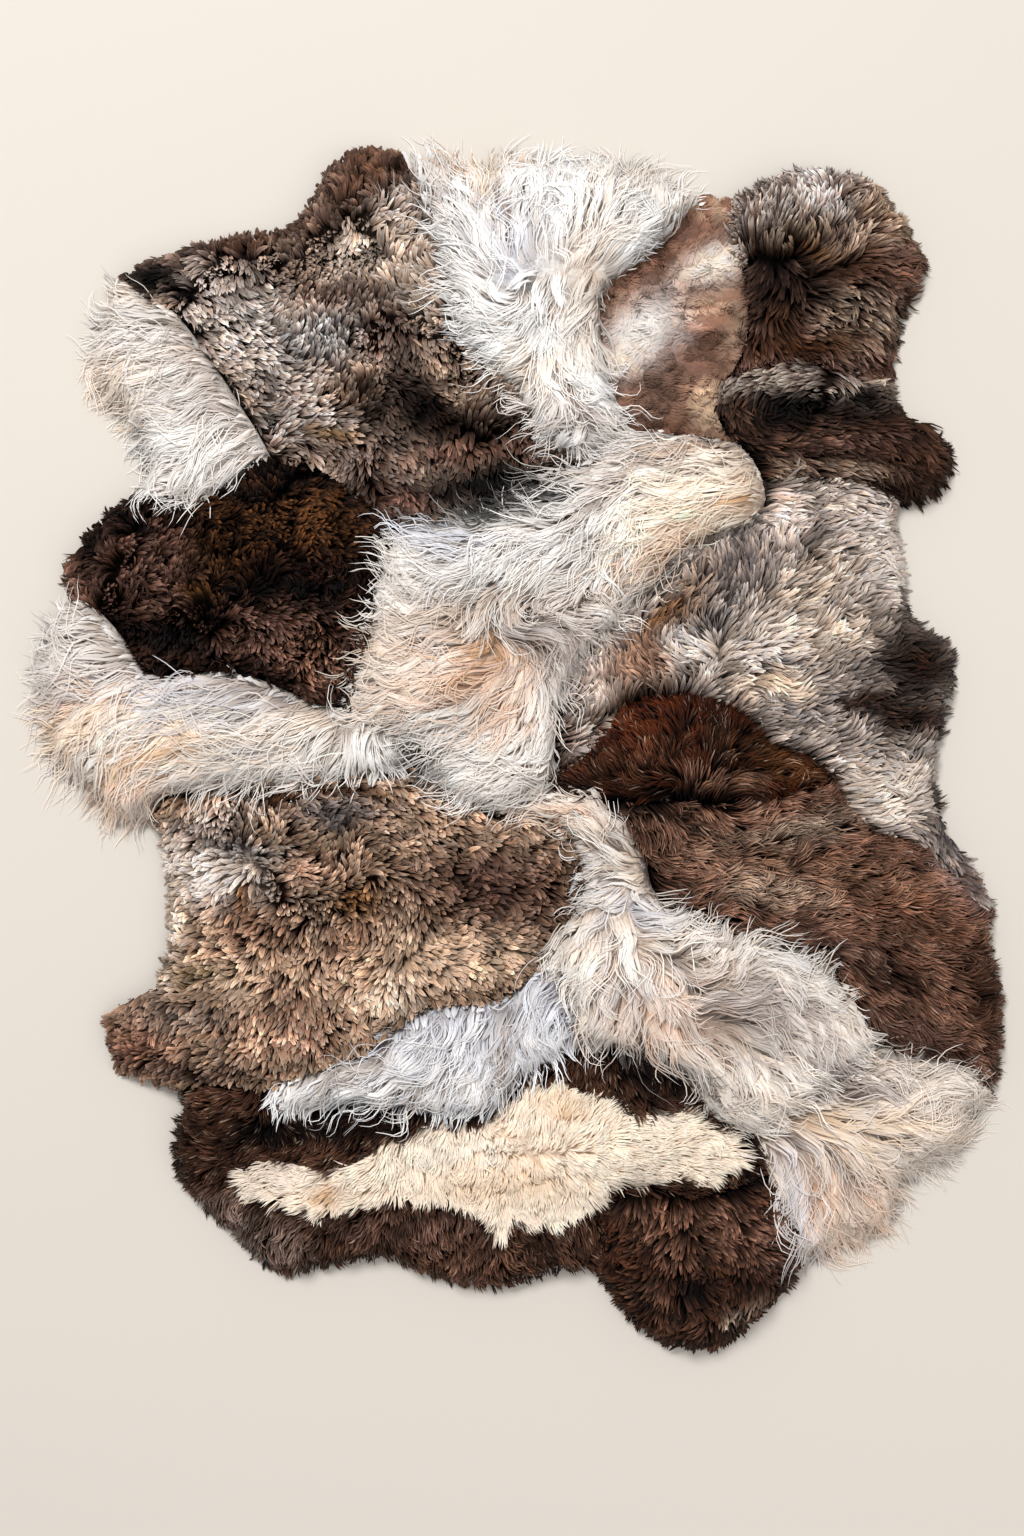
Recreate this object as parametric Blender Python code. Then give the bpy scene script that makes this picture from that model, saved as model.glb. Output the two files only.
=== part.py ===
"""Patchwork sheepskin rug: eighteen skins of short and long wool, sewn edge to edge and laid flat.

The pattern is drawn on a sheet, x to the right and y down, about one millimetre to the unit.
Every skin is one solid: a flat hide underneath, a lumpy pile on top, and pointed locks at the rug's rim.
"""

import collections
import math
import random

import bmesh
import bpy
from mathutils import Vector, geometry, noise

MM = 0.001

# The sheet was traced from slightly off the vertical, so its scale shrinks towards the top
SHEET_CENTRE = (512, 768)
SHEET_TILT = 3.3  # degrees
SHEET_DISTANCE = 2050  # from the eye, in the sheet's units

# How the skins meet
SEAM_GAP = 0.3  # between neighbouring skins
SEAM_STEP = 15.0  # between points along a seam
MITRE_LIMIT = 3.0  # longest corner of the gap, in gaps

# The pile
PILE_STEP = 23.0  # between points across the pile
PILE_JITTER = 3.0  # how far a point may stray from the grid
PILE_CLOSEST = 0.55  # least spacing of two grid points, as a share of the step
SHOULDER = 30.0  # how far in from its edge the pile reaches full height
SHOULDER_RING = 9.0  # a ring of points this far in rounds the shoulder
LEAST_SPACING = 6.5  # between a pile point and the edge, and along the shoulder
LEAST_HEIGHT = 7.0  # of the pile in its deepest hollow
BROAD_LUMP, BROAD_RISE = 75.0, 8.0  # size and rise of the broad lumps
SMALL_LUMP, SMALL_RISE = 33.0, 7.0  # size and rise of the small lumps
BROAD_SLICE, SMALL_SLICE = 0.5, 4.5  # where each pattern of lumps cuts the noise
CREASE_ANGLE = 50  # degrees: edges sharper than this stay sharp

# The locks at the rim
LONG_LOCK = {"pitch": 18.0, "length": 24.0, "bends": True}
SHORT_LOCK = {"pitch": 16.0, "length": 9.0, "bends": False}
LOCK_TIP_HEIGHT = 2.0
LOCK_ROOT_HEIGHT = 11.0
LOCK_VARIATION = 0.35  # share of a lock's length that differs from one to the next
LOCK_BELLY = 0.3  # half width of a long lock half way along, as a share of the pitch
LOCK_SWAY = 0.15  # furthest that a tip lies to one side, as a share of the pitch
RIM_JOINT_HEIGHT = 7.0  # where a seam runs out at the rim

# Places where seams meet each other or the rim
JUNCTIONS = {
    "rim_grey_crown": (395, 150),
    "rim_crown_mocha": (702, 193),
    "rim_mocha_badger": (736, 198),
    "rim_badger_umber": (893, 383),
    "rim_umber_silver": (898, 505),
    "rim_silver_chestnut": (995, 912),
    "rim_chestnut_plume": (993, 1100),
    "rim_plume_paw": (805, 1262),
    "rim_paw_sable": (597, 1272),
    "rim_sable_fawn": (182, 1092),
    "rim_fawn_train": (150, 822),
    "rim_train_bear": (68, 600),
    "rim_bear_cape": (137, 494),
    "rim_cape_grey": (118, 276),
    "cape_grey_bear": (274, 463),
    "grey_bear_centre": (403, 530),
    "grey_crown_centre": (585, 465),
    "crown_mocha_centre": (628, 436),
    "mocha_umber_centre": (735, 446),
    "mocha_badger_umber": (724, 384),
    "umber_silver_centre": (760, 482),
    "silver_russet_centre": (553, 779),
    "silver_russet_chestnut": (832, 778),
    "centre_russet_mane": (556, 797),
    "russet_chestnut_mane": (600, 803),
    "centre_mane_fawn": (498, 815),
    "centre_train_fawn": (406, 768),
    "bear_centre_train": (350, 712),
    "fawn_mane_mist": (548, 952),
    "fawn_mist_sable": (272, 1086),
    "mist_mane_sable": (578, 1043),
    "mane_plume_sable": (752, 1132),
    "mane_plume_chestnut": (872, 1040),
    "sable_paw_plume": (765, 1170),
}

# Routes of the rim, clockwise on the sheet: first junction, points on the way, last junction
RIMS = {
    "grey_rim": (
        "rim_cape_grey",
        [(135, 262), (165, 252), (205, 240), (250, 231), (285, 228), (302, 208)],
        [(315, 183), (330, 160), (350, 147), (370, 143)],
        "rim_grey_crown",
    ),
    "crown_rim": (
        "rim_grey_crown",
        [(420, 143), (450, 150), (475, 158), (500, 146), (525, 146), (548, 152)],
        [(575, 150), (605, 151), (635, 160), (665, 163), (685, 175)],
        "rim_crown_mocha",
    ),
    "mocha_rim": ("rim_crown_mocha", [(718, 193)], "rim_mocha_badger"),
    "badger_rim": (
        "rim_mocha_badger",
        [(757, 180), (790, 169), (825, 169), (860, 175), (883, 183), (893, 205), (908, 222)],
        [(918, 245), (930, 265), (925, 290), (908, 308), (902, 335), (898, 360)],
        "rim_badger_umber",
    ),
    "umber_rim": (
        "rim_badger_umber",
        [(895, 398), (908, 415), (932, 428), (952, 445), (958, 468), (950, 490), (930, 505)],
        [(912, 510)],
        "rim_umber_silver",
    ),
    "silver_rim": (
        "rim_umber_silver",
        [(900, 525), (904, 550), (910, 580), (908, 605), (918, 622), (940, 632), (956, 645)],
        [(958, 672), (952, 705), (944, 738), (938, 765), (937, 790), (946, 815), (955, 838)],
        [(972, 860), (990, 882)],
        "rim_silver_chestnut",
    ),
    "chestnut_rim": (
        "rim_silver_chestnut",
        [(993, 940), (998, 965), (1006, 990), (1008, 1020), (1004, 1050), (1000, 1078)],
        "rim_chestnut_plume",
    ),
    "plume_rim": (
        "rim_chestnut_plume",
        [(985, 1130), (970, 1155), (945, 1173), (914, 1189), (908, 1212), (895, 1235)],
        [(870, 1253), (838, 1264)],
        "rim_plume_paw",
    ),
    "paw_rim": (
        "rim_plume_paw",
        [(792, 1285), (770, 1312), (738, 1340), (700, 1355), (660, 1345), (628, 1325)],
        [(606, 1298)],
        "rim_paw_sable",
    ),
    "sable_rim": (
        "rim_paw_sable",
        [(560, 1276), (525, 1287), (490, 1293), (450, 1288), (420, 1277), (390, 1263)],
        [(350, 1266), (318, 1272), (288, 1278), (262, 1272), (240, 1250), (215, 1222)],
        [(188, 1200), (172, 1170), (170, 1135), (176, 1112)],
        "rim_sable_fawn",
    ),
    "fawn_rim": (
        "rim_sable_fawn",
        [(155, 1091), (128, 1082), (108, 1062), (100, 1035), (103, 1012), (125, 995)],
        [(150, 983), (160, 960), (166, 925), (163, 890), (160, 860)],
        "rim_fawn_train",
    ),
    "train_rim": (
        "rim_fawn_train",
        [(140, 834), (120, 838), (98, 828), (85, 812), (62, 795), (45, 770), (33, 740)],
        [(27, 708), (28, 675), (33, 640), (44, 614)],
        "rim_train_bear",
    ),
    "bear_rim": (
        "rim_train_bear",
        [(60, 585), (62, 568), (75, 545), (90, 525), (110, 507)],
        "rim_bear_cape",
    ),
    "cape_rim": (
        "rim_bear_cape",
        [(133, 470), (132, 448), (120, 430), (100, 412), (84, 395), (80, 370), (86, 340)],
        [(86, 308), (95, 287)],
        "rim_cape_grey",
    ),
}

# Routes of the seams: first junction, points on the way, last junction
SEAMS = {
    "grey_crown": (
        "rim_grey_crown",
        [(412, 180), (425, 212), (438, 250), (448, 290), (455, 330), (475, 362)],
        [(505, 385), (525, 410), (540, 440), (562, 457)],
        "grey_crown_centre",
    ),
    "crown_mocha": (
        "rim_crown_mocha",
        [(690, 215), (665, 243), (640, 265), (615, 286), (601, 302), (600, 325)],
        [(602, 355), (608, 385), (615, 412)],
        "crown_mocha_centre",
    ),
    "mocha_badger": (
        "rim_mocha_badger",
        [(730, 218), (732, 245), (740, 270), (746, 300), (746, 335), (738, 362)],
        "mocha_badger_umber",
    ),
    "badger_umber": (
        "mocha_badger_umber",
        [(750, 373), (790, 369), (830, 374), (865, 384)],
        "rim_badger_umber",
    ),
    "mocha_umber": ("mocha_badger_umber", [(718, 405), (718, 426)], "mocha_umber_centre"),
    "mocha_centre": ("crown_mocha_centre", [(660, 436), (700, 440)], "mocha_umber_centre"),
    "umber_centre": ("mocha_umber_centre", [(750, 462)], "umber_silver_centre"),
    "umber_silver": (
        "umber_silver_centre",
        [(800, 484), (845, 487), (875, 495)],
        "rim_umber_silver",
    ),
    "centre_silver": (
        "umber_silver_centre",
        [(764, 502), (752, 525), (722, 540), (695, 550), (665, 578), (640, 603)],
        [(605, 640), (580, 672), (562, 700), (555, 740)],
        "silver_russet_centre",
    ),
    "silver_russet": (
        "silver_russet_centre",
        [(575, 765), (600, 735), (625, 712), (655, 701), (690, 699), (720, 708)],
        [(745, 722), (765, 745), (800, 757)],
        "silver_russet_chestnut",
    ),
    "silver_chestnut": (
        "silver_russet_chestnut",
        [(845, 810), (870, 832), (900, 840), (930, 857), (955, 882), (974, 902)],
        "rim_silver_chestnut",
    ),
    "russet_chestnut": (
        "russet_chestnut_mane",
        [(640, 801), (690, 804), (740, 803), (790, 795)],
        "silver_russet_chestnut",
    ),
    "centre_russet": ("silver_russet_centre", [], "centre_russet_mane"),
    "russet_mane": ("centre_russet_mane", [(578, 797)], "russet_chestnut_mane"),
    "chestnut_mane": (
        "russet_chestnut_mane",
        [(628, 828), (645, 862), (654, 897), (680, 915), (712, 925), (745, 938)],
        [(785, 948), (818, 965), (845, 995)],
        "mane_plume_chestnut",
    ),
    "chestnut_plume": (
        "mane_plume_chestnut",
        [(905, 1052), (945, 1060), (975, 1078)],
        "rim_chestnut_plume",
    ),
    "mane_plume": (
        "mane_plume_sable",
        [(785, 1112), (820, 1090), (850, 1065)],
        "mane_plume_chestnut",
    ),
    "centre_mane": ("centre_mane_fawn", [(528, 805)], "centre_russet_mane"),
    "centre_fawn": ("centre_train_fawn", [(432, 783), (465, 802)], "centre_mane_fawn"),
    "centre_train": ("bear_centre_train", [(378, 725), (402, 743)], "centre_train_fawn"),
    "bear_centre": (
        "grey_bear_centre",
        [(385, 560), (376, 600), (370, 640), (354, 680)],
        "bear_centre_train",
    ),
    "grey_centre": (
        "grey_bear_centre",
        [(440, 524), (485, 511), (525, 492), (555, 474)],
        "grey_crown_centre",
    ),
    "crown_centre": ("grey_crown_centre", [(607, 451)], "crown_mocha_centre"),
    "grey_bear": (
        "cape_grey_bear",
        [(300, 466), (328, 474), (348, 494), (376, 512)],
        "grey_bear_centre",
    ),
    "cape_grey": (
        "rim_cape_grey",
        [(145, 298), (175, 315), (200, 345), (222, 377), (243, 410), (260, 437)],
        "cape_grey_bear",
    ),
    "cape_bear": (
        "cape_grey_bear",
        [(252, 476), (232, 492), (205, 505), (178, 505), (155, 499)],
        "rim_bear_cape",
    ),
    "bear_train": (
        "rim_train_bear",
        [(95, 608), (118, 630), (138, 657), (156, 678), (185, 676), (225, 673)],
        [(262, 681), (292, 694), (322, 706)],
        "bear_centre_train",
    ),
    "train_fawn": (
        "rim_fawn_train",
        [(157, 803), (185, 793), (235, 788), (290, 785), (340, 780), (375, 775)],
        "centre_train_fawn",
    ),
    "fawn_mane": (
        "centre_mane_fawn",
        [(530, 815), (560, 828), (577, 855), (580, 892), (567, 925)],
        "fawn_mane_mist",
    ),
    "fawn_mist": (
        "fawn_mane_mist",
        [(525, 980), (495, 1000), (440, 1005), (408, 1017), (385, 1037), (355, 1055)],
        [(310, 1070)],
        "fawn_mist_sable",
    ),
    "mist_mane": ("fawn_mane_mist", [(566, 982), (575, 1013)], "mist_mane_sable"),
    "fawn_sable": ("rim_sable_fawn", [(205, 1084), (238, 1084)], "fawn_mist_sable"),
    "mist_sable": (
        "fawn_mist_sable",
        [(284, 1107), (320, 1106), (370, 1104), (420, 1109), (465, 1112), (500, 1100)],
        [(516, 1080), (545, 1062)],
        "mist_mane_sable",
    ),
    "mane_sable": (
        "mist_mane_sable",
        [(615, 1048), (650, 1062), (682, 1077), (702, 1105), (725, 1124)],
        "mane_plume_sable",
    ),
    "sable_plume": ("mane_plume_sable", [(757, 1150)], "sable_paw_plume"),
    "paw_plume": ("sable_paw_plume", [(775, 1200), (790, 1230)], "rim_plume_paw"),
    "sable_paw": (
        "sable_paw_plume",
        [(735, 1183), (690, 1192), (645, 1187), (612, 1192), (600, 1215), (603, 1245)],
        "rim_paw_sable",
    ),
}

# Each skin: its routes in order, its pile's full height and its height at a seam, its locks and its colour
SKINS = {
    "grey_hide": {
        "routes": ["grey_rim", "grey_crown", "grey_centre", "grey_bear", "cape_grey"],
        "pile": 33, "edge": 20, "locks": SHORT_LOCK, "colour": (0.20, 0.16, 0.13),
    },
    "cape_fleece": {
        "routes": ["cape_rim", "cape_grey", "cape_bear"],
        "pile": 37, "edge": 27, "locks": LONG_LOCK, "colour": (0.78, 0.72, 0.64),
    },
    "crown_fleece": {
        "routes": ["crown_rim", "crown_mocha", "crown_centre", "grey_crown"],
        "pile": 44, "edge": 30, "locks": LONG_LOCK, "colour": (0.82, 0.80, 0.76),
    },
    "mocha_hide": {
        "routes": ["mocha_rim", "mocha_badger", "mocha_umber", "mocha_centre", "crown_mocha"],
        "pile": 25, "edge": 17, "locks": SHORT_LOCK, "colour": (0.30, 0.20, 0.15),
    },
    "badger_hide": {
        "routes": ["badger_rim", "badger_umber", "mocha_badger"],
        "pile": 39, "edge": 25, "locks": SHORT_LOCK, "colour": (0.22, 0.18, 0.14),
    },
    "umber_hide": {
        "routes": ["umber_rim", "umber_silver", "umber_centre", "mocha_umber", "badger_umber"],
        "pile": 36, "edge": 26, "locks": SHORT_LOCK, "colour": (0.12, 0.085, 0.07),
    },
    "silver_hide": {
        "routes": [
            "silver_rim", "silver_chestnut", "silver_russet", "centre_silver", "umber_silver",
        ],
        "pile": 33, "edge": 21, "locks": SHORT_LOCK, "colour": (0.42, 0.38, 0.34),
    },
    "centre_fleece": {
        "routes": [
            "centre_silver", "centre_russet", "centre_mane", "centre_fawn", "centre_train",
            "bear_centre", "grey_centre", "crown_centre", "mocha_centre", "umber_centre",
        ],
        "pile": 47, "edge": 29, "locks": LONG_LOCK, "colour": (0.76, 0.68, 0.58),
    },
    "bear_hide": {
        "routes": ["bear_rim", "cape_bear", "grey_bear", "bear_centre", "bear_train"],
        "pile": 34, "edge": 20, "locks": SHORT_LOCK, "colour": (0.075, 0.04, 0.025),
    },
    "train_fleece": {
        "routes": ["train_rim", "bear_train", "centre_train", "train_fawn"],
        "pile": 42, "edge": 29, "locks": LONG_LOCK, "colour": (0.78, 0.70, 0.60),
    },
    "fawn_hide": {
        "routes": [
            "fawn_rim", "train_fawn", "centre_fawn", "fawn_mane", "fawn_mist", "fawn_sable",
        ],
        "pile": 31, "edge": 20, "locks": SHORT_LOCK, "colour": (0.32, 0.23, 0.16),
    },
    "russet_hide": {
        "routes": ["silver_russet", "russet_chestnut", "russet_mane", "centre_russet"],
        "pile": 40, "edge": 22, "locks": SHORT_LOCK, "colour": (0.10, 0.04, 0.02),
    },
    "chestnut_hide": {
        "routes": [
            "chestnut_rim", "chestnut_plume", "chestnut_mane", "russet_chestnut",
            "silver_chestnut",
        ],
        "pile": 37, "edge": 21, "locks": SHORT_LOCK, "colour": (0.13, 0.075, 0.05),
    },
    "mane_fleece": {
        "routes": [
            "chestnut_mane", "mane_plume", "mane_sable", "mist_mane", "fawn_mane",
            "centre_mane", "russet_mane",
        ],
        "pile": 48, "edge": 30, "locks": LONG_LOCK, "colour": (0.74, 0.69, 0.63),
    },
    "mist_fleece": {
        "routes": ["fawn_mist", "mist_mane", "mist_sable"],
        "pile": 42, "edge": 29, "locks": LONG_LOCK, "colour": (0.70, 0.69, 0.68),
    },
    "plume_fleece": {
        "routes": ["plume_rim", "paw_plume", "sable_plume", "mane_plume", "chestnut_plume"],
        "pile": 40, "edge": 28, "locks": LONG_LOCK, "colour": (0.74, 0.67, 0.58),
    },
    "sable_hide": {
        "routes": [
            "sable_rim", "fawn_sable", "mist_sable", "mane_sable", "sable_plume", "sable_paw",
        ],
        "pile": 34, "edge": 19, "locks": SHORT_LOCK, "colour": (0.075, 0.05, 0.04),
    },
    "paw_hide": {
        "routes": ["paw_rim", "sable_paw", "paw_plume"],
        "pile": 38, "edge": 24, "locks": SHORT_LOCK, "colour": (0.08, 0.05, 0.04),
    },
}

ROUTES = RIMS | SEAMS

# Humps and hollows that show in the pile; turn is in degrees, anticlockwise from the sheet's x
Hump = collections.namedtuple("Hump", "x y half_length half_width turn rise")
RELIEF = (
    Hump(800, 388, 88, 15, 2, 13),  # rolled edge of the umber skin
    Hump(800, 432, 70, 13, 2, -15),  # hollow below that roll
    Hump(915, 462, 35, 28, -20, 6),
    Hump(770, 290, 22, 60, 0, -8),  # hollow along the badger skin's inner edge
    Hump(825, 225, 60, 35, 0, 7),
    Hump(425, 425, 45, 16, -10, -11),  # hollow across the grey skin
    Hump(505, 476, 75, 11, 6, -14),  # deep crease along its lower edge
    Hump(370, 485, 40, 20, -30, 6),
    Hump(230, 290, 90, 26, 25, 5),
    Hump(305, 585, 60, 22, 5, -8),  # hollows in the bear skin
    Hump(195, 640, 40, 18, 60, -7),
    Hump(110, 560, 30, 40, 0, 5),
    Hump(230, 740, 150, 24, 4, 7),  # long roll of the train
    Hump(378, 752, 24, 26, 0, 8),
    Hump(110, 690, 60, 80, 0, 4),
    Hump(210, 848, 48, 10, -5, -7),  # creases in the fawn skin
    Hump(345, 915, 40, 12, 45, -6),
    Hump(485, 905, 45, 20, -15, -6),
    Hump(240, 1010, 110, 40, 15, 4),
    Hump(330, 1128, 130, 13, 3, -12),  # crease above the cream marking
    Hump(640, 1068, 62, 16, -20, -12),
    Hump(530, 1150, 190, 32, 2, 7),
    Hump(690, 1288, 26, 20, 0, -12),  # dimple in the paw
    Hump(640, 1250, 30, 45, 0, 5),
    Hump(870, 962, 36, 20, -30, -9),
    Hump(700, 803, 95, 9, 0, -7),
    Hump(690, 755, 70, 30, -10, 6),
    Hump(850, 706, 36, 16, 0, -7),
    Hump(640, 655, 40, 24, 50, -6),
    Hump(500, 560, 110, 30, 15, 6),
    Hump(520, 680, 40, 40, 0, -5),
    Hump(735, 1000, 60, 45, -30, 5),
    Hump(840, 1140, 75, 38, -15, 6),
    Hump(470, 1050, 70, 26, 10, 5),
)

SEED = 7
SAME_POINT = 1e-4  # points nearer than this are one
INSIDE_OUTLINE = 1  # the triangulation keeps the triangles within the outline
FLEECE_ROUGHNESS = 0.95


def laid_out(point):
    """Where a point of the sheet lies on the floor, in millimetres from the sheet's centre, y down."""
    across, down = point[0] - SHEET_CENTRE[0], point[1] - SHEET_CENTRE[1]
    tilt = math.radians(SHEET_TILT)
    scale = 1 + down * math.tan(tilt) / SHEET_DISTANCE
    return Vector((across / scale, down / (scale * math.cos(tilt))))


def smooth_route(route, step):
    """Points about step apart on a smooth curve through a route, ends included."""
    first, *stretches, last = route
    traced = [JUNCTIONS[first], *(point for stretch in stretches for point in stretch), JUNCTIONS[last]]
    corners = [laid_out(point) for point in traced]
    padded = [2 * corners[0] - corners[1], *corners, 2 * corners[-1] - corners[-2]]
    made = [corners[0]]
    for before, start, end, after in zip(padded, padded[1:], padded[2:], padded[3:]):
        pieces = max(1, round((end - start).length / step))
        for i in range(1, pieces + 1):
            t = i / pieces
            bend = (
                2 * start
                + (end - before) * t
                + (2 * before - 5 * start + 4 * end - after) * t**2
                + (3 * start - before - 3 * end + after) * t**3
            )
            made.append(bend / 2)
    return made


def along(points, pitch):
    """Places at half a pitch on a line of points, each with its outward direction on a clockwise rim."""
    lengths = [0.0]
    for a, b in zip(points, points[1:]):
        lengths.append(lengths[-1] + (b - a).length)
    count = max(2, round(lengths[-1] / pitch))
    places, k = [], 0
    for i in range(2 * count + 1):
        wanted = lengths[-1] * i / (2 * count)
        while k < len(points) - 2 and lengths[k + 1] < wanted:
            k += 1
        run = points[k + 1] - points[k]
        places.append(points[k] + run * ((wanted - lengths[k]) / (lengths[k + 1] - lengths[k])))
    made = []
    for i, place in enumerate(places):
        chord = places[min(i + 2, 2 * count)] - places[max(i - 2, 0)]
        made.append((place, Vector((chord.y, -chord.x)).normalized()))
    return made


def lock_rim(route, locks, dice):
    """The rim of one skin as (place, height) pairs: the tips of its locks lie on the route."""
    halves = along(smooth_route(route, SEAM_STEP), locks["pitch"])
    made = [(halves[0][0], RIM_JOINT_HEIGHT)]
    for i in range(1, len(halves), 2):
        tip, out = halves[i]
        length = locks["length"] * (1 - LOCK_VARIATION * dice.random())
        side = Vector((-out.y, out.x)) * locks["pitch"]
        tip = tip + side * dice.uniform(-LOCK_SWAY, LOCK_SWAY)
        if locks["bends"]:
            side *= LOCK_BELLY
            belly = tip - out * (length * 0.5)
            belly_height = (LOCK_TIP_HEIGHT + LOCK_ROOT_HEIGHT) / 2
            made.append((belly - side, belly_height))
            made.append((tip, LOCK_TIP_HEIGHT))
            made.append((belly + side, belly_height))
        else:
            made.append((tip, LOCK_TIP_HEIGHT))
        if i + 2 < len(halves):
            root, out = halves[i + 1]
            made.append((root - out * length, LOCK_ROOT_HEIGHT))
    return made + [(halves[-1][0], RIM_JOINT_HEIGHT)]


def outline(skin, dice):
    """A skin's outline, clockwise on the sheet, as (place, height) pairs."""
    loop, at = [], None
    following = ROUTES[skin["routes"][1]]
    for name in skin["routes"]:
        route = ROUTES[name]
        if name in RIMS:
            points = lock_rim(route, skin["locks"], dice)
        else:
            points = [(p, skin["edge"]) for p in smooth_route(route, SEAM_STEP)]
            for end, junction in ((0, route[0]), (-1, route[-1])):
                if junction.startswith("rim_"):
                    points[end] = (points[end][0], RIM_JOINT_HEIGHT)
        if at is None:
            turned = route[-1] not in (following[0], following[-1])
        else:
            turned = route[0] != at
        if turned:
            points.reverse()
        at = route[0] if turned else route[-1]
        loop += points[:-1]
    if sum(a.cross(b) for (a, _), (b, _) in zip(loop, loop[1:] + loop[:1])) > 0:
        loop.reverse()
    return loop


def inset(loop, by):
    """The outline drawn in all round, corners mitred."""
    made = []
    for i, (here, height) in enumerate(loop):
        before = (here - loop[i - 1][0]).normalized()
        after = (loop[(i + 1) % len(loop)][0] - here).normalized()
        inward = Vector((before.y, -before.x)) + Vector((after.y, -after.x))
        inward.normalize()
        share = max(1 / MITRE_LIMIT, inward.dot(Vector((after.y, -after.x))))
        made.append((here + inward * (by / share), height))
    return made


def edge_near(place, loop):
    """Distance from a place to the outline, and the outline's height there."""
    best = (math.inf, 0.0)
    for (a, low), (b, high) in zip(loop, loop[1:] + loop[:1]):
        run = b - a
        t = max(0.0, min(1.0, (place - a).dot(run) / run.length_squared))
        away = (a + run * t - place).length
        if away < best[0]:
            best = (away, low + (high - low) * t)
    return best


def relief(place):
    """Rise of the pile's humps, hollows and lumps at a place on the sheet."""
    rise = BROAD_RISE * noise.noise(Vector((*(place / BROAD_LUMP), BROAD_SLICE)))
    rise += SMALL_RISE * noise.noise(Vector((*(place / SMALL_LUMP), SMALL_SLICE)))
    for hump in RELIEF:
        away = place - laid_out((hump.x, hump.y))
        turn = math.radians(hump.turn)
        u = (away.x * math.cos(turn) - away.y * math.sin(turn)) / hump.half_length
        v = (away.x * math.sin(turn) + away.y * math.cos(turn)) / hump.half_width
        rise += hump.rise * math.exp(-(u * u + v * v))
    return rise


def pile_height(place, skin, loop):
    away, edge = edge_near(place, loop)
    t = min(away / SHOULDER, 1.0)
    shoulder = math.sqrt(1 - (1 - t) ** 2)
    return max(LEAST_HEIGHT, edge + (skin["pile"] - edge) * shoulder + relief(place) * t)


def inside(place, loop):
    """Whether a place lies within the outline, by the crossings of a ray."""
    crossings = 0
    for (a, _), (b, _) in zip(loop, loop[1:] + loop[:1]):
        if (a.y > place.y) != (b.y > place.y):
            crossings += place.x < a.x + (b.x - a.x) * (place.y - a.y) / (b.y - a.y)
    return crossings % 2 == 1


def pile_points(loop, dice):
    """Places of the pile's points: a ring along the shoulder, then a staggered grid."""
    wanted = []
    for i, (here, _) in enumerate(loop):
        run = loop[(i + 1) % len(loop)][0] - loop[i - 1][0]
        inward = Vector((run.y, -run.x)).normalized()
        wanted.append((here + inward * SHOULDER_RING, LEAST_SPACING))
    xs, ys = [p.x for p, _ in loop], [p.y for p, _ in loop]
    row_step = PILE_STEP * math.sqrt(3) / 2
    for row in range(int((max(ys) - min(ys)) / row_step) + 1):
        for column in range(int((max(xs) - min(xs)) / PILE_STEP) + 2):
            x = min(xs) + (column - 0.5 * (row % 2)) * PILE_STEP
            place = Vector((x, min(ys) + (row + 0.5) * row_step))
            stray = [dice.uniform(-PILE_JITTER, PILE_JITTER) for _ in range(2)]
            wanted.append((place + Vector(stray), PILE_STEP * PILE_CLOSEST))
    kept = []
    for place, spacing in wanted:
        if not inside(place, loop) or edge_near(place, loop)[0] < LEAST_SPACING:
            continue
        if all((place - other).length > spacing for other in kept):
            kept.append(place)
    return kept


def fleece_material(name, colour):
    material = bpy.data.materials.new(name)
    material.use_nodes = True
    shader = material.node_tree.nodes["Principled BSDF"]
    shader.inputs["Base Color"].default_value = (*colour, 1)
    shader.inputs["Roughness"].default_value = FLEECE_ROUGHNESS
    shader.inputs["Metallic"].default_value = 0
    return material


def make_skin(name, skin, loop, dice, middle):
    """One skin as a closed solid: flat hide at the floor, upright edge, lumpy pile."""
    places = [p for p, _ in loop]
    heights = [height for _, height in loop]
    for place in pile_points(loop, dice):
        places.append(place)
        heights.append(pile_height(place, skin, loop))
    rim = list(range(len(loop)))
    net = geometry.delaunay_2d_cdt(places, [], [rim], INSIDE_OUTLINE, SAME_POINT)
    flat, _, faces, sources, *_ = net
    mesh = bmesh.new()
    for place, source in zip(flat, sources):
        x, y = place.x - middle.x, middle.y - place.y
        mesh.verts.new((x * MM, y * MM, heights[source[0]] * MM))
    mesh.verts.ensure_lookup_table()
    for face in faces:
        mesh.faces.new([mesh.verts[i] for i in face])
    bmesh.ops.recalc_face_normals(mesh, faces=mesh.faces)
    if sum(face.normal.z for face in mesh.faces) < 0:
        bmesh.ops.reverse_faces(mesh, faces=mesh.faces)
    edge = [e for e in mesh.edges if e.is_boundary]
    hem = bmesh.ops.extrude_edge_only(mesh, edges=edge)["geom"]
    for part in hem:
        if isinstance(part, bmesh.types.BMVert):
            part.co.z = 0
    floor_edges = [e for e in hem if isinstance(e, bmesh.types.BMEdge)]
    bmesh.ops.edgenet_fill(mesh, edges=[e for e in floor_edges if e.is_boundary])
    bmesh.ops.recalc_face_normals(mesh, faces=mesh.faces)
    data = bpy.data.meshes.new(name)
    mesh.to_mesh(data)
    mesh.free()
    data.shade_smooth()
    data.set_sharp_from_angle(angle=math.radians(CREASE_ANGLE))
    made = bpy.data.objects.new(name, data)
    made.data.materials.append(fleece_material(name, skin["colour"]))
    bpy.context.scene.collection.objects.link(made)
    return made


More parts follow.
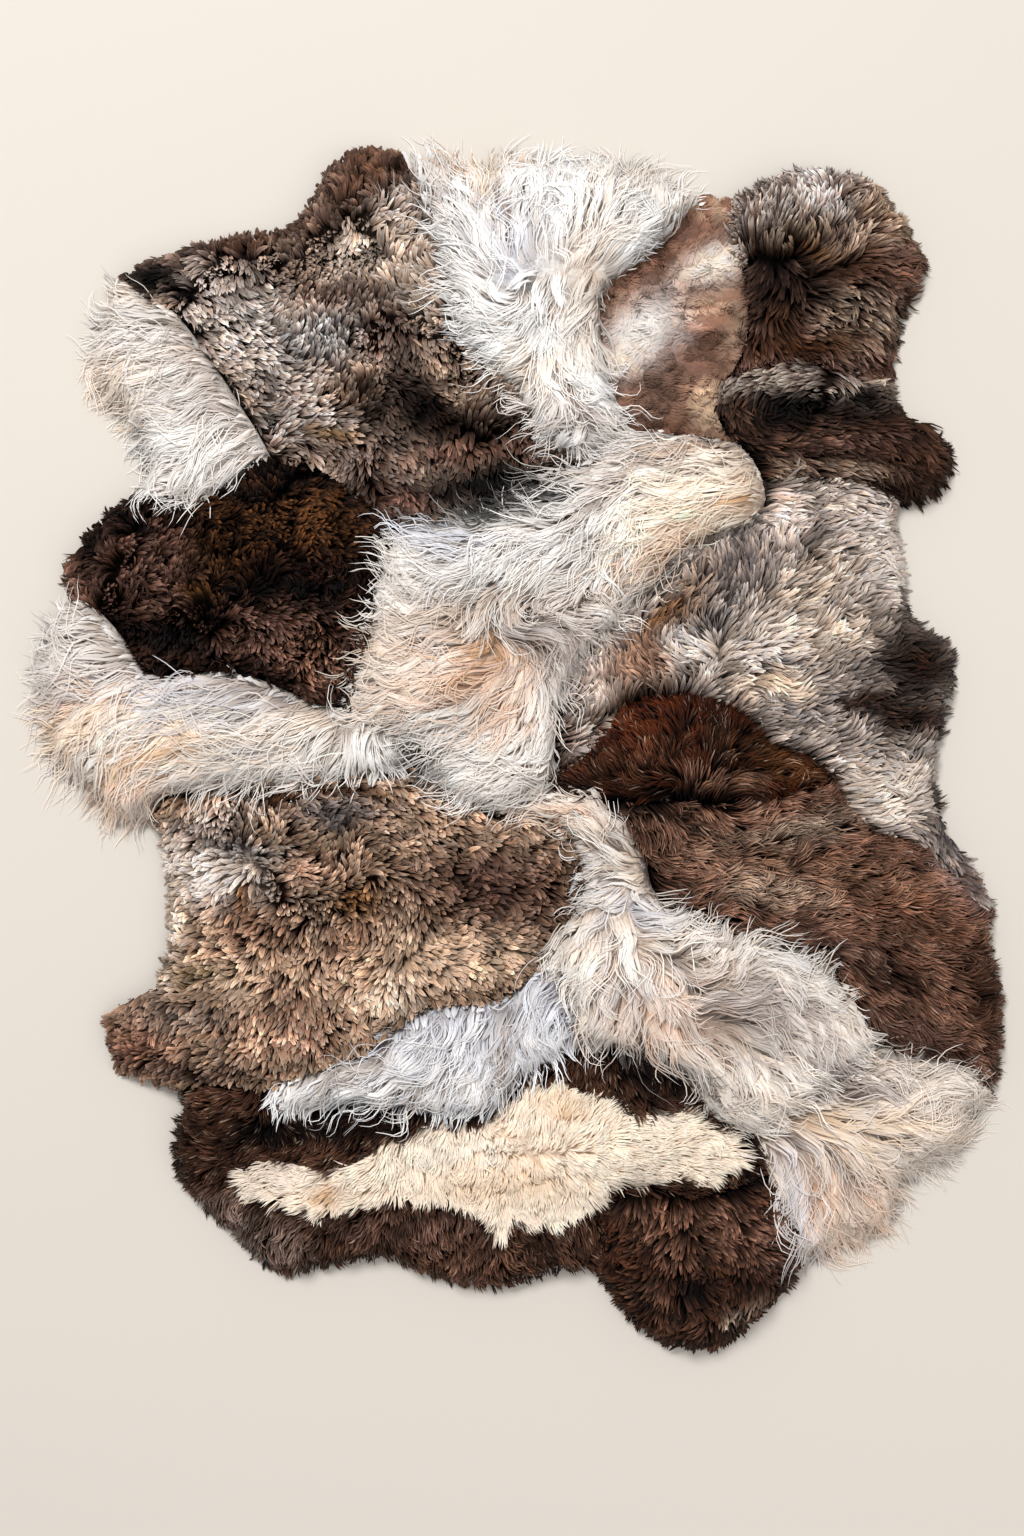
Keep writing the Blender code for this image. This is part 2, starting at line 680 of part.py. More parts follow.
def main():
    for old in list(bpy.data.objects):
        bpy.data.objects.remove(old, do_unlink=True)
    loops = {}
    for name, skin in SKINS.items():
        dice = random.Random(f"{SEED} {name}")
        loops[name] = (inset(outline(skin, dice), SEAM_GAP / 2), dice)
    every = [place for loop, _ in loops.values() for place, _ in loop]
    middle = Vector((
        (min(p.x for p in every) + max(p.x for p in every)) / 2,
        (min(p.y for p in every) + max(p.y for p in every)) / 2,
    ))
    rug = bpy.data.objects.new("rug", None)
    bpy.context.scene.collection.objects.link(rug)
    for name, skin in SKINS.items():
        loop, dice = loops[name]
        make_skin(name, skin, loop, dice, middle).parent = rug


main()
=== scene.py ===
import math

import bpy
import numpy as np
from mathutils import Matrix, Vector, geometry
from mathutils.bvhtree import BVHTree


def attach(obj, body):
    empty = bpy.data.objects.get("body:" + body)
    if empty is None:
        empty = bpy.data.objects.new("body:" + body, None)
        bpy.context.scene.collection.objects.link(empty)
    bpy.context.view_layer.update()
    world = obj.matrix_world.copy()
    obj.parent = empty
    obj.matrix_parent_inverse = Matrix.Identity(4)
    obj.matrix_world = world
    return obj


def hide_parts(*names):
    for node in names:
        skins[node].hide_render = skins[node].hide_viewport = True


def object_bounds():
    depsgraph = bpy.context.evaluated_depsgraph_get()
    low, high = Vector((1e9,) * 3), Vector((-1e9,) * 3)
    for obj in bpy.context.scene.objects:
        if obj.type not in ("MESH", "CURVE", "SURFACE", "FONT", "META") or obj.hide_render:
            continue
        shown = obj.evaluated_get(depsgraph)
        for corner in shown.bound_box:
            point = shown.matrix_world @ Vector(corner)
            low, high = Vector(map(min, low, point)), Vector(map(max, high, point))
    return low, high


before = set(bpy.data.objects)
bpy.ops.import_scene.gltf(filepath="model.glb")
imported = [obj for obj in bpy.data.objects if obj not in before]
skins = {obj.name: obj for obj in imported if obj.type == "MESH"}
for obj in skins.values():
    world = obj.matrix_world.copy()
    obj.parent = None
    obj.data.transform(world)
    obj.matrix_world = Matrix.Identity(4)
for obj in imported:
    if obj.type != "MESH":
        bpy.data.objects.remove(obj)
cadLow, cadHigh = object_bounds()
mm = 0.001
print("frame loaded,", len(skins), "skins")

# places on the pattern sheet are given as x to the right and y down, about a millimetre to the unit
patternSheet = {
    "centre": (512, 768),
    "tilt": 3.3,  # degrees off the vertical when it was traced
    "eye": 2050,  # how far off the eye was
    "rugMiddle": (3.24, 29.52),  # from the sheet's centre, x right and y up
}


def laidOut(x, y):  # where a place on the sheet lies on the floor, in mm from the rug's middle, y up
    across = np.asarray(x, float) - patternSheet["centre"][0]
    down = np.asarray(y, float) - patternSheet["centre"][1]
    tilt = math.radians(patternSheet["tilt"])
    scale = 1 + down * math.tan(tilt) / patternSheet["eye"]
    right = across / scale - patternSheet["rugMiddle"][0]
    up = -down / (scale * math.cos(tilt)) - patternSheet["rugMiddle"][1]
    return np.stack([right, up], -1)


# small helpers for fields over the rug
def smoothStep(t, start=0.0, end=1.0):
    t = np.clip((t - start) / (end - start), 0, 1)
    return t * t * (3 - 2 * t)


def blended(grid, x, y, nextX, nextY, shareX, shareY):  # the value between four neighbours on a grid
    low = grid[y, x] * (1 - shareX) + grid[y, nextX] * shareX
    high = grid[nextY, x] * (1 - shareX) + grid[nextY, nextX] * shareX
    return low * (1 - shareY) + high * shareY


def softNoise(place, size, seed, cells=64):  # smooth, from -1 to 1, with lumps about size across
    lattice = np.random.default_rng(seed).uniform(-1, 1, (cells, cells))
    cell = np.floor(place / size).astype(int)
    x, y = np.moveaxis(cell % cells, -1, 0)
    shares = np.moveaxis(smoothStep(place / size - cell), -1, 0)
    return blended(lattice, x, y, (x + 1) % cells, (y + 1) % cells, *shares)


def unit(vectors):
    return vectors / np.maximum(np.linalg.norm(vectors, axis=-1, keepdims=True), 1e-6)


def linear(colour):  # 0 to 255 as the eye sees it, to the shader's linear light
    c = np.asarray(colour, float) / 255
    return np.where(c <= 0.04045, c / 12.92, ((c + 0.055) / 1.055) ** 2.4)


# outlines of the skins, from the flat undersides of the CAD nodes
def underside(name, flatTo=0.05):  # triangles of the flat underside, in mm, as (n, 3, 2)
    data = skins[name].data
    data.calc_loop_triangles()
    points = np.array([v.co for v in data.vertices]) / mm
    triangles = points[np.array([t.vertices for t in data.loop_triangles])]
    return triangles[(triangles[:, :, 2] < flatTo).all(axis=1)][:, :, :2]


def outlineOf(triangles):  # the underside's edge as one loop of places, anticlockwise from above
    spot, seen = {}, set()
    keys = np.round(triangles * 100).astype(int)  # corners closer than a hundredth of a millimetre are one
    for corners, real in zip(keys.tolist(), triangles.tolist()):
        for i in range(3):
            a, b = tuple(corners[i]), tuple(corners[(i + 1) % 3])
            spot[a] = real[i]
            seen.add((a, b))
    following = {a: b for a, b in seen if (b, a) not in seen}
    start = at = next(iter(following))
    loop = []
    while True:
        loop.append(spot[at])
        at = following[at]
        if at == start:
            break
    loop = np.array(loop)
    turning = np.cross(loop, np.roll(loop, -1, axis=0)).sum()
    return loop if turning > 0 else loop[::-1]


def distanceTo(place, starts, ends, batch=20000):  # shortest distance from each place to any straight stretch
    found = np.empty(len(place))
    run = ends - starts
    size = np.maximum((run**2).sum(-1), 1e-9)
    for i in range(0, len(place), batch):
        away = place[i:i + batch, None] - starts[None]
        t = np.clip((away * run).sum(-1) / size, 0, 1)
        found[i:i + batch] = np.sqrt(((away - run * t[..., None]) ** 2).sum(-1)).min(1)
    return found


def within(place, loop):  # whether each place lies inside the loop
    a, b = loop, np.roll(loop, -1, axis=0)
    x, y = place[:, 0, None], place[:, 1, None]
    straddles = (a[:, 1] > y) != (b[:, 1] > y)
    rise = np.where(b[:, 1] == a[:, 1], 1e-9, b[:, 1] - a[:, 1])
    return (straddles & (x < a[:, 0] + (b[:, 0] - a[:, 0]) * (y - a[:, 1]) / rise)).sum(1) % 2 == 1


def signedDistance(place, loop):  # negative inside
    away = distanceTo(place, loop, np.roll(loop, -1, axis=0))
    return np.where(within(place, loop), -away, away)


flats = {name: underside(name) for name in skins}
loops = {name: outlineOf(flat) for name, flat in flats.items()}

# the ground survey: pile height and distances to edges on a grid, all in mm
survey = {
    "step": 4.0, "margin": 80.0, "above": 200, "blur": 2,
    "touching": 1.0,  # skins whose edges are nearer than this lie side by side
    "reach": 60.0,  # distances to a skin's edge are kept up to here
}
paintedCreaseShade = {"blur": 20, "from": 1, "most": 16, "depth": 0.105}  # painted shade: wool is coloured darker where it lies lower than its surroundings

lowCorner = np.array(cadLow[:2]) / mm - survey["margin"]
gridSize = (np.array(cadHigh[:2]) / mm + survey["margin"] - lowCorner) // survey["step"] + 1
gridLines = [lowCorner[i] + survey["step"] * np.arange(gridSize[i]) for i in (0, 1)]
gridPlaces = np.stack(np.meshgrid(*gridLines), -1)
gridShape = gridPlaces.shape[:2]


def surveyHeights():
    points, faces = [], []
    for name in skins:
        data = skins[name].data
        faces += [tuple(i + len(points) for i in face.vertices) for face in data.polygons]
        points += [v.co / mm for v in data.vertices]
    tree = BVHTree.FromPolygons(points, faces)
    heights = []
    for x, y in gridPlaces.reshape(-1, 2):
        hit = tree.ray_cast(Vector((x, y, survey["above"])), Vector((0, 0, -1)))[0]
        heights.append(hit.z if hit else 0)
    return np.array(heights, float).reshape(gridShape)


def blurred(field, times):
    for _ in range(times):
        for axis in (0, 1):
            field = 0.5 * field + 0.25 * (np.roll(field, 1, axis) + np.roll(field, -1, axis))
    return field


def sampled(field, place):  # the grid's value at each place
    at = np.clip((place - lowCorner) / survey["step"], 0, np.array(field.shape[::-1]) - 1.001)  # stays on the grid
    cell = at.astype(int)
    x, y = np.moveaxis(cell, -1, 0)
    return blended(field, x, y, x + 1, y + 1, *np.moveaxis(at - cell, -1, 0))


def freeOf(name, place):  # whether each place lies clear of every other skin's edge
    others = [loop for other, loop in loops.items() if other != name]
    after = [np.roll(loop, -1, axis=0) for loop in others]
    return distanceTo(place, np.concatenate(others), np.concatenate(after)) > survey["touching"]


def rimStretches():  # starts and ends of the edges that no other skin lies along
    stretches = []
    for name, loop in loops.items():
        after = np.roll(loop, -1, axis=0)
        free = freeOf(name, (loop + after) / 2)
        stretches.append(np.stack([loop[free], after[free]]))
    return np.concatenate(stretches, axis=1)


def edgeField(loop):  # distance to a skin's outline over the grid, negative inside
    low, high = loop.min(0) - survey["reach"], loop.max(0) + survey["reach"]
    near = ((gridPlaces > low) & (gridPlaces < high)).all(-1)
    field = np.full(gridShape, survey["reach"])
    field[near] = signedDistance(gridPlaces[near], loop)
    return field


rawHeights = surveyHeights()
pileHeights = blurred(rawHeights, survey["blur"])
slopeY, slopeX = np.gradient(pileHeights, survey["step"])
paintedShadeHollows = np.clip(blurred(rawHeights, paintedCreaseShade["blur"]) - pileHeights - paintedCreaseShade["from"], 0, paintedCreaseShade["most"])
rimDistance = distanceTo(gridPlaces.reshape(-1, 2), *rimStretches()).reshape(gridShape)
rimDistance *= np.where(rawHeights > 0, -1, 1)
edgeFields = {name: edgeField(loop) for name, loop in loops.items()}
print("pile surveyed,", rawHeights.size, "places")

# colours of wool, 0 to 255
wools = {
    "white": (233, 223, 214), "snow": (245, 240, 235), "chalk": (251, 249, 247), "cool": (224, 225, 233),
    "cloud": (206, 195, 190), "ivory": (243, 226, 209), "cream": (246, 216, 182), "peach": (232, 192, 163),
    # shade is painted shade, laid as patches in the gaps and hollows of the pale fleeces
    "amber": (212, 160, 108), "shade": (140, 121, 111), "butter": (254, 233, 210), "candle": (254, 240, 222),
    "ash": (160, 141, 131), "beige": (192, 166, 144), "sand": (212, 182, 154), "pearl": (222, 206, 194),
    "taupe": (134, 109, 97), "mauve": (122, 91, 80), "slate": (94, 86, 87), "olive": (120, 100, 70),
    "mocha": (167, 121, 99), "fawn": (166, 130, 107), "ochre": (146, 102, 60), "umber": (95, 66, 51),
    "sepia": (79, 54, 42), "chestnut": (100, 62, 43), "rust": (92, 40, 15), "bark": (51, 29, 18),
    "sable": (54, 38, 31), "coal": (22, 13, 10), "black": (5, 3, 2), "gold": (94, 58, 29),
}

# how wool grows, layer by layer: strands to the square centimetre, lengths in mm, angles in degrees
anyLayer = {
    "where": "all", "rimMargin": 3,  # how far from the rug's rim the outermost strands stand
    "longer": 1, "spread": 0.3,  # strand length, as a share of the skin's
    "lean": (0.5, 0.9),  # share of each step that goes sideways, at the root and at the tip
    "join": 0.3, "fan": 8, "dome": 2,  # how a tuft's tips come together, its strands turn apart, and it rounds up
    "stray": 14, "swirl": 24, "kin": 30,  # how tufts turn by themselves and together, and how far apart kin are
    "bend": 18, "own": 0.5, "wave": 0, "waves": 1, "fly": 0.1,
    "spill": (-3, 4), "wisps": 0, "wispSpill": (0, 0), "rimSpill": (-6, 6), "least": 0.3,  # how far past the edge
    "bed": 0.6, "proud": 1.5, "layer": 5, "together": 0.6, "lumps": (14, 3), "tips": 0, "over": 0,  # heights
    "roll": 30, "cup": 0.5, "ease": 0.4, "round": 0.3,  # how a ribbon turns, and how it takes the light
    # rootShade paints shade toward the roots, deep in the pile; groove paints shade on the strands at a tuft's sides
    "rootShade": 0.2, "tipFrom": 0.45, "flicker": 0.25, "tuftFlicker": 0.28, "blotch": 0.3, "paintedGrooveShade": 0.25,
    "calm": 0.5, "warmth": 0.04, "paler": 1, "flecks": 0,
    "seen": 0.66,  # the part of a strand that takes its place's colour
}
tuftHair = {
    **anyLayer, "strands": 9, "levels": (0, 0.5, 1), "shape": (0.8, 1), "width": 1.5, "clump": 12,
    "longer": 0.95, "join": 0.35, "fan": 14, "bed": 0.55, "proud": -0.5, "layer": 6, "rootShade": 0.08,
    "paler": 0.6, "flecks": 0.04,
}
tuftLeaves = {
    **anyLayer, "strands": 6.2, "levels": (0, 0.3, 0.6, 0.85, 1), "shape": (0.45, 1, 0.95, 0.6), "width": 4.1,
    "clump": 12, "lean": (0.6, 0.94), "join": 0.1, "fan": 20, "bend": 26, "bed": 0.66, "layer": 7,
    "together": 0.45, "tips": 1.2, "roll": 24, "rootShade": 0.08, "flicker": 0.26, "blotch": 0.36,
}
streakLeaves = {
    **tuftLeaves, "strands": 8, "width": 3.1, "longer": 1.1, "fan": 11, "stray": 9, "lean": (0.65, 0.96),
    "flicker": 0.22, "tuftFlicker": 0.24,
}
curled = {"bend": 50, "flicker": 0.35, "tuftFlicker": 0.45, "blotch": 0.4}
curlHair = {**tuftHair, **curled, "flecks": 0.02}
curlLeaves = {**tuftLeaves, **curled, "strands": 7, "width": 3.4, "swirl": 46, "kin": 20, "rootShade": 0.04}
downHair = {
    **anyLayer, "strands": 19, "levels": (0, 0.35, 0.7, 1), "shape": (0.7, 1, 0.8), "width": 1.6, "clump": 11,
    "lean": (0.55, 0.95), "join": 0.35, "fan": 12, "stray": 12, "layer": 6, "bend": 26, "ease": 0.5, "cup": 0.35,
    "rootShade": 0.05, "tuftFlicker": 0.26, "flicker": 0.34, "blotch": 0.5, "flecks": 0.1,
}
plushHair = {
    **anyLayer, "strands": 50, "levels": (0, 1), "shape": (1,), "width": 1.5, "clump": 14, "lean": (0.5, 0.6),
    "join": 0.5, "stray": 40, "bed": 0.8, "proud": 0, "layer": 2, "lumps": (12, 5), "roll": 24, "ease": 0.6,
    "cup": 0.3, "rootShade": 0.8, "flicker": 0.08, "tuftFlicker": 0.16, "blotch": 0.34, "paintedGrooveShade": 0.2, "calm": 0.9,
}
longLayer = {
    **anyLayer, "rimMargin": 5, "stray": 5, "swirl": 22, "kin": 46, "own": 0.22, "clump": 16,
    "spill": (-10, 1), "rimSpill": (-3, 8), "least": 0.2, "bed": 0.74, "proud": 0, "layer": 4.5,
    "together": 0.88, "lumps": (30, 4), "dome": 4.5, "tips": -1, "over": 3, "roll": 9, "bend": 28, "wave": 20,
    "waves": 1.25, "ease": 0.75, "cup": 0.2, "rootShade": 0.68, "tipFrom": 0.2, "flicker": 0.035,
    "tuftFlicker": 0.08, "blotch": 0.08, "paintedGrooveShade": 0.16, "calm": 0, "warmth": 0.012,
}
lockRibbons = {
    **longLayer, "strands": 4.2, "levels": (0, 0.2, 0.42, 0.64, 0.84, 1), "shape": (0.5, 1, 1, 0.85, 0.55),
    "width": 3.3, "lean": (0.78, 1), "join": 0.7, "fan": 4, "proud": -0.2, "fly": 0, "rimSpill": (-2, 9),
}
lockHairs = {
    **longLayer, "strands": 6.2, "levels": (0, 0.17, 0.34, 0.5, 0.67, 0.84, 1),
    "shape": (0.5, 0.9, 1, 1, 0.85, 0.6), "width": 1.2, "lean": (0.78, 1), "join": 0.8, "fan": 4, "fly": 0.03,
    "rimSpill": (-4, 6), "wisps": 0.2, "wispSpill": (2, 16),
}
lockWisps = {
    **longLayer, "strands": 2.6, "levels": (0, 0.14, 0.28, 0.42, 0.55, 0.68, 0.8, 0.91, 1),
    "shape": (0.6, 0.9, 1, 1, 0.95, 0.85, 0.7, 0.5), "width": 1.0, "clump": 12, "longer": 1.15, "lean": (0.8, 1),
    "join": 0.6, "stray": 14, "own": 0.45, "bend": 46, "wave": 32, "waves": 1.3, "proud": 3.0, "layer": 5,
    "tips": 0, "spill": (-4, 11), "wisps": 0.32, "wispSpill": (8, 36), "rimSpill": (-2, 12), "over": 5,
    "seen": 0.1, "rootShade": 0.8, "paintedGrooveShade": 0, "tuftFlicker": 0.06, "cup": 0.3,
}
leafyWool = {"layers": (tuftHair, tuftLeaves), "length": 24, "finish": "leafy"}
streakyWool = {"layers": (tuftHair, streakLeaves), "length": 28, "finish": "leafy"}
curlyWool = {"layers": (curlHair, curlLeaves), "length": 22, "finish": "curled"}
downyWool = {"layers": (downHair,), "length": 31, "finish": "downy"}
plushWool = {"layers": (plushHair,), "length": 12, "finish": "plush"}
longWool = {"layers": (lockRibbons, lockHairs, lockWisps), "length": 70, "finish": "silky", "slot": "white_wool"}
markedWool = {
    **downyWool, "layers": (
        {**downHair, "where": "around"},
        {
            **downHair, "where": "marking", "strands": 26, "bed": 0.82, "proud": 2.5, "lean": (0.72, 1),
            "rootShade": 0.95, "layer": 3, "lumps": (22, 3), "dome": 1.5, "stray": 9, "roll": 8, "ease": 0.75,
            "cup": 0.2, "tipFrom": 0.3, "flicker": 0.04, "tuftFlicker": 0.04, "blotch": 0.04, "paintedGrooveShade": 0.04,
            "calm": 0, "warmth": 0.015, "flecks": 0,
        },
    ),
}

# each skin: its wool, the way it is combed (x, y, degrees from the right, anticlockwise) and its patches of
# colour, some of them painted shade (x, y, half length, half width, turn, colour, colour of the tips)
skinLooks = {}
skinLooks["grey_hide"] = {
    **leafyWool, "slot": "grey_wool", "base": ("taupe", "beige"),
    "comb": [
        (370, 175, 100), (320, 215, 120), (250, 240, 110), (180, 262, 150), (150, 285, 200), (250, 290, -60),
        (220, 335, -42), (270, 365, -35), (300, 345, 60), (300, 420, 5), (330, 450, -8), (345, 385, 80),
        (370, 300, 85), (350, 250, -85), (400, 235, 45), (425, 300, 150), (400, 350, -85), (430, 400, -60),
        (350, 492, -130), (392, 500, -30), (455, 455, -95), (520, 455, -60), (500, 500, -100), (550, 460, -40),
        (290, 455, -20), (480, 420, 70),
    ],
    "patches": [
        (365, 172, 60, 46, 60, "sepia", "umber"), (225, 254, 115, 22, 18, "bark", "umber"),
        (395, 215, 26, 22, 60, "ash", "pearl"), (362, 258, 30, 26, 60, "beige", "pearl"),
        (262, 345, 84, 44, -35, "ash", "white"), (412, 280, 20, 56, 10, "beige", "pearl"),
        (330, 345, 36, 26, 0, "slate", "white"), (345, 300, 44, 14, 0, "sepia", "ash"),
        (300, 428, 54, 22, 10, "taupe", "white"), (395, 350, 30, 36, 0, "umber", "ash"),
        (360, 395, 40, 22, -20, "umber", "beige"), (340, 445, 26, 9, -15, "olive", "ochre"),
        (432, 418, 62, 40, -12, "black", "coal"), (500, 440, 80, 32, -10, "black", "bark"),
        (372, 482, 44, 28, -20, "sepia", "ash"), (480, 462, 76, 12, 6, "umber", "mauve"),
        # (470, 497) and (540, 482): dark wool and painted shade of the valley by the centre fleece
        (470, 497, 96, 20, 9, "black", "black"), (540, 482, 60, 16, 8, "black", "coal"),
        (405, 512, 34, 14, -20, "bark", "mauve"), (460, 395, 40, 14, -40, "sepia", "beige"),
        (150, 286, 30, 15, -8, "black", "black"), (185, 300, 20, 8, -20, "black", "coal"),
        (400, 172, 10, 30, -30, "bark", "umber"),
    ],
}
skinLooks["cape_fleece"] = {
    **longWool, "length": 74, "base": ("white", "snow"),
    "comb": [
        (240, 450, 205), (200, 400, 198), (150, 330, 176), (112, 292, 140), (100, 370, 186), (112, 405, 208),
        (150, 440, 184), (170, 480, 196), (230, 482, 218), (180, 340, 175), (130, 285, 150),
    ],
    "patches": [
        (118, 388, 36, 34, 0, "ivory", "ivory"), (222, 415, 56, 14, -62, "cloud", "white"),
        (105, 300, 24, 20, 0, "ivory", "white"), (160, 470, 50, 6, 5, "shade", "white"),
        (150, 350, 50, 5, -10, "cloud", "snow"), (150, 430, 46, 4, 5, "shade", "snow"),
        (120, 430, 26, 10, 20, "cream", "ivory"), (200, 455, 50, 26, 0, "snow", "snow"),
    ],
}
skinLooks["crown_fleece"] = {
    **longWool, "length": 64, "base": ("snow", "chalk"),
    "comb": [
        (420, 175, 112), (470, 190, 104), (540, 185, 95), (600, 185, 74), (650, 190, 60), (665, 215, 50),
        (620, 250, 55), (560, 240, 75), (500, 250, 105), (450, 250, 130), (480, 300, 150), (445, 330, 188),
        (540, 320, -100), (588, 320, -96), (505, 365, 200), (560, 390, -70), (600, 425, -20), (525, 425, -150),
        (470, 345, 182), (560, 440, 200),
    ],
    "patches": [
        (505, 265, 50, 26, 40, "cool", "snow"), (645, 185, 60, 30, 10, "ivory", "snow"),
        (457, 170, 20, 15, 20, "amber", "amber"), (487, 190, 14, 30, 5, "cream", "ivory"),
        (535, 378, 60, 24, 10, "ivory", "snow"), (590, 300, 22, 50, 0, "ivory", "white"),
        (470, 290, 26, 34, 0, "snow", "snow"), (590, 430, 40, 10, -10, "shade", "white"),
        (640, 268, 60, 6, 42, "shade", "white"), (520, 165, 20, 10, 0, "peach", "ivory"),
        (440, 200, 10, 40, 20, "cloud", "white"), (560, 420, 60, 12, -10, "cloud", "white"),
        (500, 215, 8, 24, 20, "shade", "white"),
    ],
}
skinLooks["mocha_hide"] = {
    **plushWool, "slot": "mocha_wool", "base": ("mocha", "mocha"),
    "comb": [
        (705, 215, 95), (650, 300, 200), (700, 300, -60), (735, 300, -80), (650, 400, -20), (715, 400, -95),
        (640, 340, 45), (700, 260, 40), (690, 360, -20),
    ],
    "patches": [
        (672, 388, 44, 24, 20, "mauve", "fawn"), (640, 418, 40, 12, 0, "mauve", "fawn"),
        (712, 415, 16, 26, 0, "sand", "cream"), (712, 212, 24, 18, 0, "mocha", "sand"),
        (665, 262, 34, 14, 40, "umber", "mocha"), (625, 308, 22, 16, 0, "mocha", "sand"),
        (732, 330, 14, 40, 0, "fawn", "beige"), (692, 318, 34, 10, 20, "mocha", "sand"),
        (700, 345, 26, 10, 0, "umber", "mauve"), (660, 300, 20, 8, 30, "umber", "mocha"),
        (690, 235, 20, 8, 30, "mauve", "mocha"), (713, 271, 37, 20, 30, "candle", "chalk"),
        (643, 336, 38, 28, 35, "chalk", "chalk"), (616, 366, 30, 19, 10, "candle", "chalk"),
    ],
}
skinLooks["badger_hide"] = {
    **streakyWool, "slot": "grey_wool", "length": 32, "base": ("bark", "mauve"),
    "comb": [
        (800, 190, 92), (760, 195, 112), (742, 232, 150), (850, 195, 62), (890, 215, 34), (880, 248, 16),
        (905, 275, -5), (880, 300, -12), (850, 335, -30), (800, 318, -50), (790, 350, -65), (750, 300, -110),
        (750, 325, -110), (820, 360, -25), (800, 235, 88), (770, 240, 118), (835, 240, 50), (815, 268, 5),
        (830, 290, -20), (775, 290, -80),
    ],
    "patches": [
        (805, 200, 80, 44, 0, "taupe", "snow"), (765, 205, 30, 44, 0, "sepia", "pearl"),
        (885, 222, 34, 44, 40, "umber", "sand"), (745, 232, 18, 36, 0, "sepia", "pearl"),
        (805, 250, 54, 20, 0, "bark", "sand"), (770, 300, 28, 48, 0, "black", "coal"),
        (780, 330, 16, 14, 0, "black", "gold"), (900, 275, 32, 28, 0, "umber", "mauve"),
        (818, 300, 58, 32, 0, "coal", "sepia"), (862, 332, 42, 30, 0, "bark", "beige"),
        (805, 355, 60, 12, 5, "bark", "gold"), (800, 262, 40, 8, 5, "bark", "ochre"),
        (835, 245, 10, 14, -20, "coal", "taupe"), (850, 275, 30, 12, 0, "bark", "umber"),
    ],
}
skinLooks["umber_hide"] = {
    **streakyWool, "slot": "dark_wool", "length": 31, "base": ("coal", "sepia"),
    "comb": [
        (750, 400, 215), (800, 392, 190), (850, 395, -15), (885, 385, 5), (790, 450, -8), (860, 450, -25),
        (920, 455, -15), (945, 450, 5), (900, 490, -42), (780, 480, -5), (740, 440, -45), (830, 475, -20),
    ],
    "patches": [
        (805, 387, 92, 22, 2, "taupe", "ivory"), (795, 420, 80, 14, 3, "black", "coal"),
        (805, 478, 70, 9, -4, "umber", "beige"), (920, 455, 45, 34, -15, "bark", "umber"),
        (735, 420, 16, 16, 0, "coal", "umber"), (745, 452, 14, 12, 0, "coal", "coal"),
        (865, 404, 22, 8, 0, "black", "coal"), (850, 448, 50, 12, 0, "bark", "mauve"),
        (888, 384, 16, 8, 0, "beige", "pearl"), (780, 450, 40, 8, 0, "coal", "umber"),
    ],
}
skinLooks["silver_hide"] = {
    **streakyWool, "slot": "silver_wool", "base": ("ash", "pearl"),
    "comb": [
        (780, 500, 5), (860, 510, 0), (890, 545, 0), (900, 585, -5), (820, 570, 38), (770, 560, 60), (720, 560, 100),
        (690, 590, 75), (650, 605, 40), (640, 650, 130), (620, 690, 115), (580, 720, 20), (600, 750, 8),
        (740, 620, 45), (800, 620, 32), (840, 650, 10), (830, 690, 0), (880, 700, -4), (920, 680, -15),
        (935, 650, 40), (860, 780, 10), (900, 760, 5), (900, 820, 10), (940, 840, -45), (970, 880, -42),
        (690, 650, 160), (770, 690, -20), (720, 690, 30),
    ],
    "patches": [
        (820, 508, 80, 12, 0, "ash", "pearl"), (885, 560, 34, 34, 0, "pearl", "white"),
        (800, 600, 60, 24, 40, "beige", "ivory"), (735, 565, 34, 22, 40, "slate", "ash"),
        (690, 590, 34, 18, 60, "taupe", "beige"), (830, 640, 44, 22, 15, "beige", "ivory"),
        (765, 640, 34, 22, 30, "pearl", "white"), (645, 660, 48, 30, 30, "umber", "fawn"),
        (660, 622, 34, 14, 35, "umber", "ochre"), (690, 648, 26, 18, 0, "pearl", "snow"),
        (772, 690, 36, 16, 0, "beige", "cream"), (915, 665, 52, 56, 0, "black", "bark"),
        (858, 706, 34, 12, 0, "coal", "sepia"), (905, 722, 50, 22, -10, "black", "sepia"),
        (888, 790, 66, 30, 10, "pearl", "ivory"), (835, 760, 30, 8, -20, "ash", "ivory"),
        (942, 805, 8, 34, 8, "black", "sepia"), (950, 850, 34, 16, -45, "slate", "ash"),
        (975, 885, 18, 14, -45, "sepia", "slate"), (600, 722, 44, 22, 25, "taupe", "pearl"),
        (640, 700, 44, 10, 15, "bark", "olive"), (575, 765, 20, 14, 0, "sepia", "ash"),
        (800, 712, 50, 8, -20, "slate", "pearl"), (725, 610, 30, 8, 40, "slate", "pearl"),
        (780, 665, 40, 6, 20, "slate", "pearl"),
    ],
}
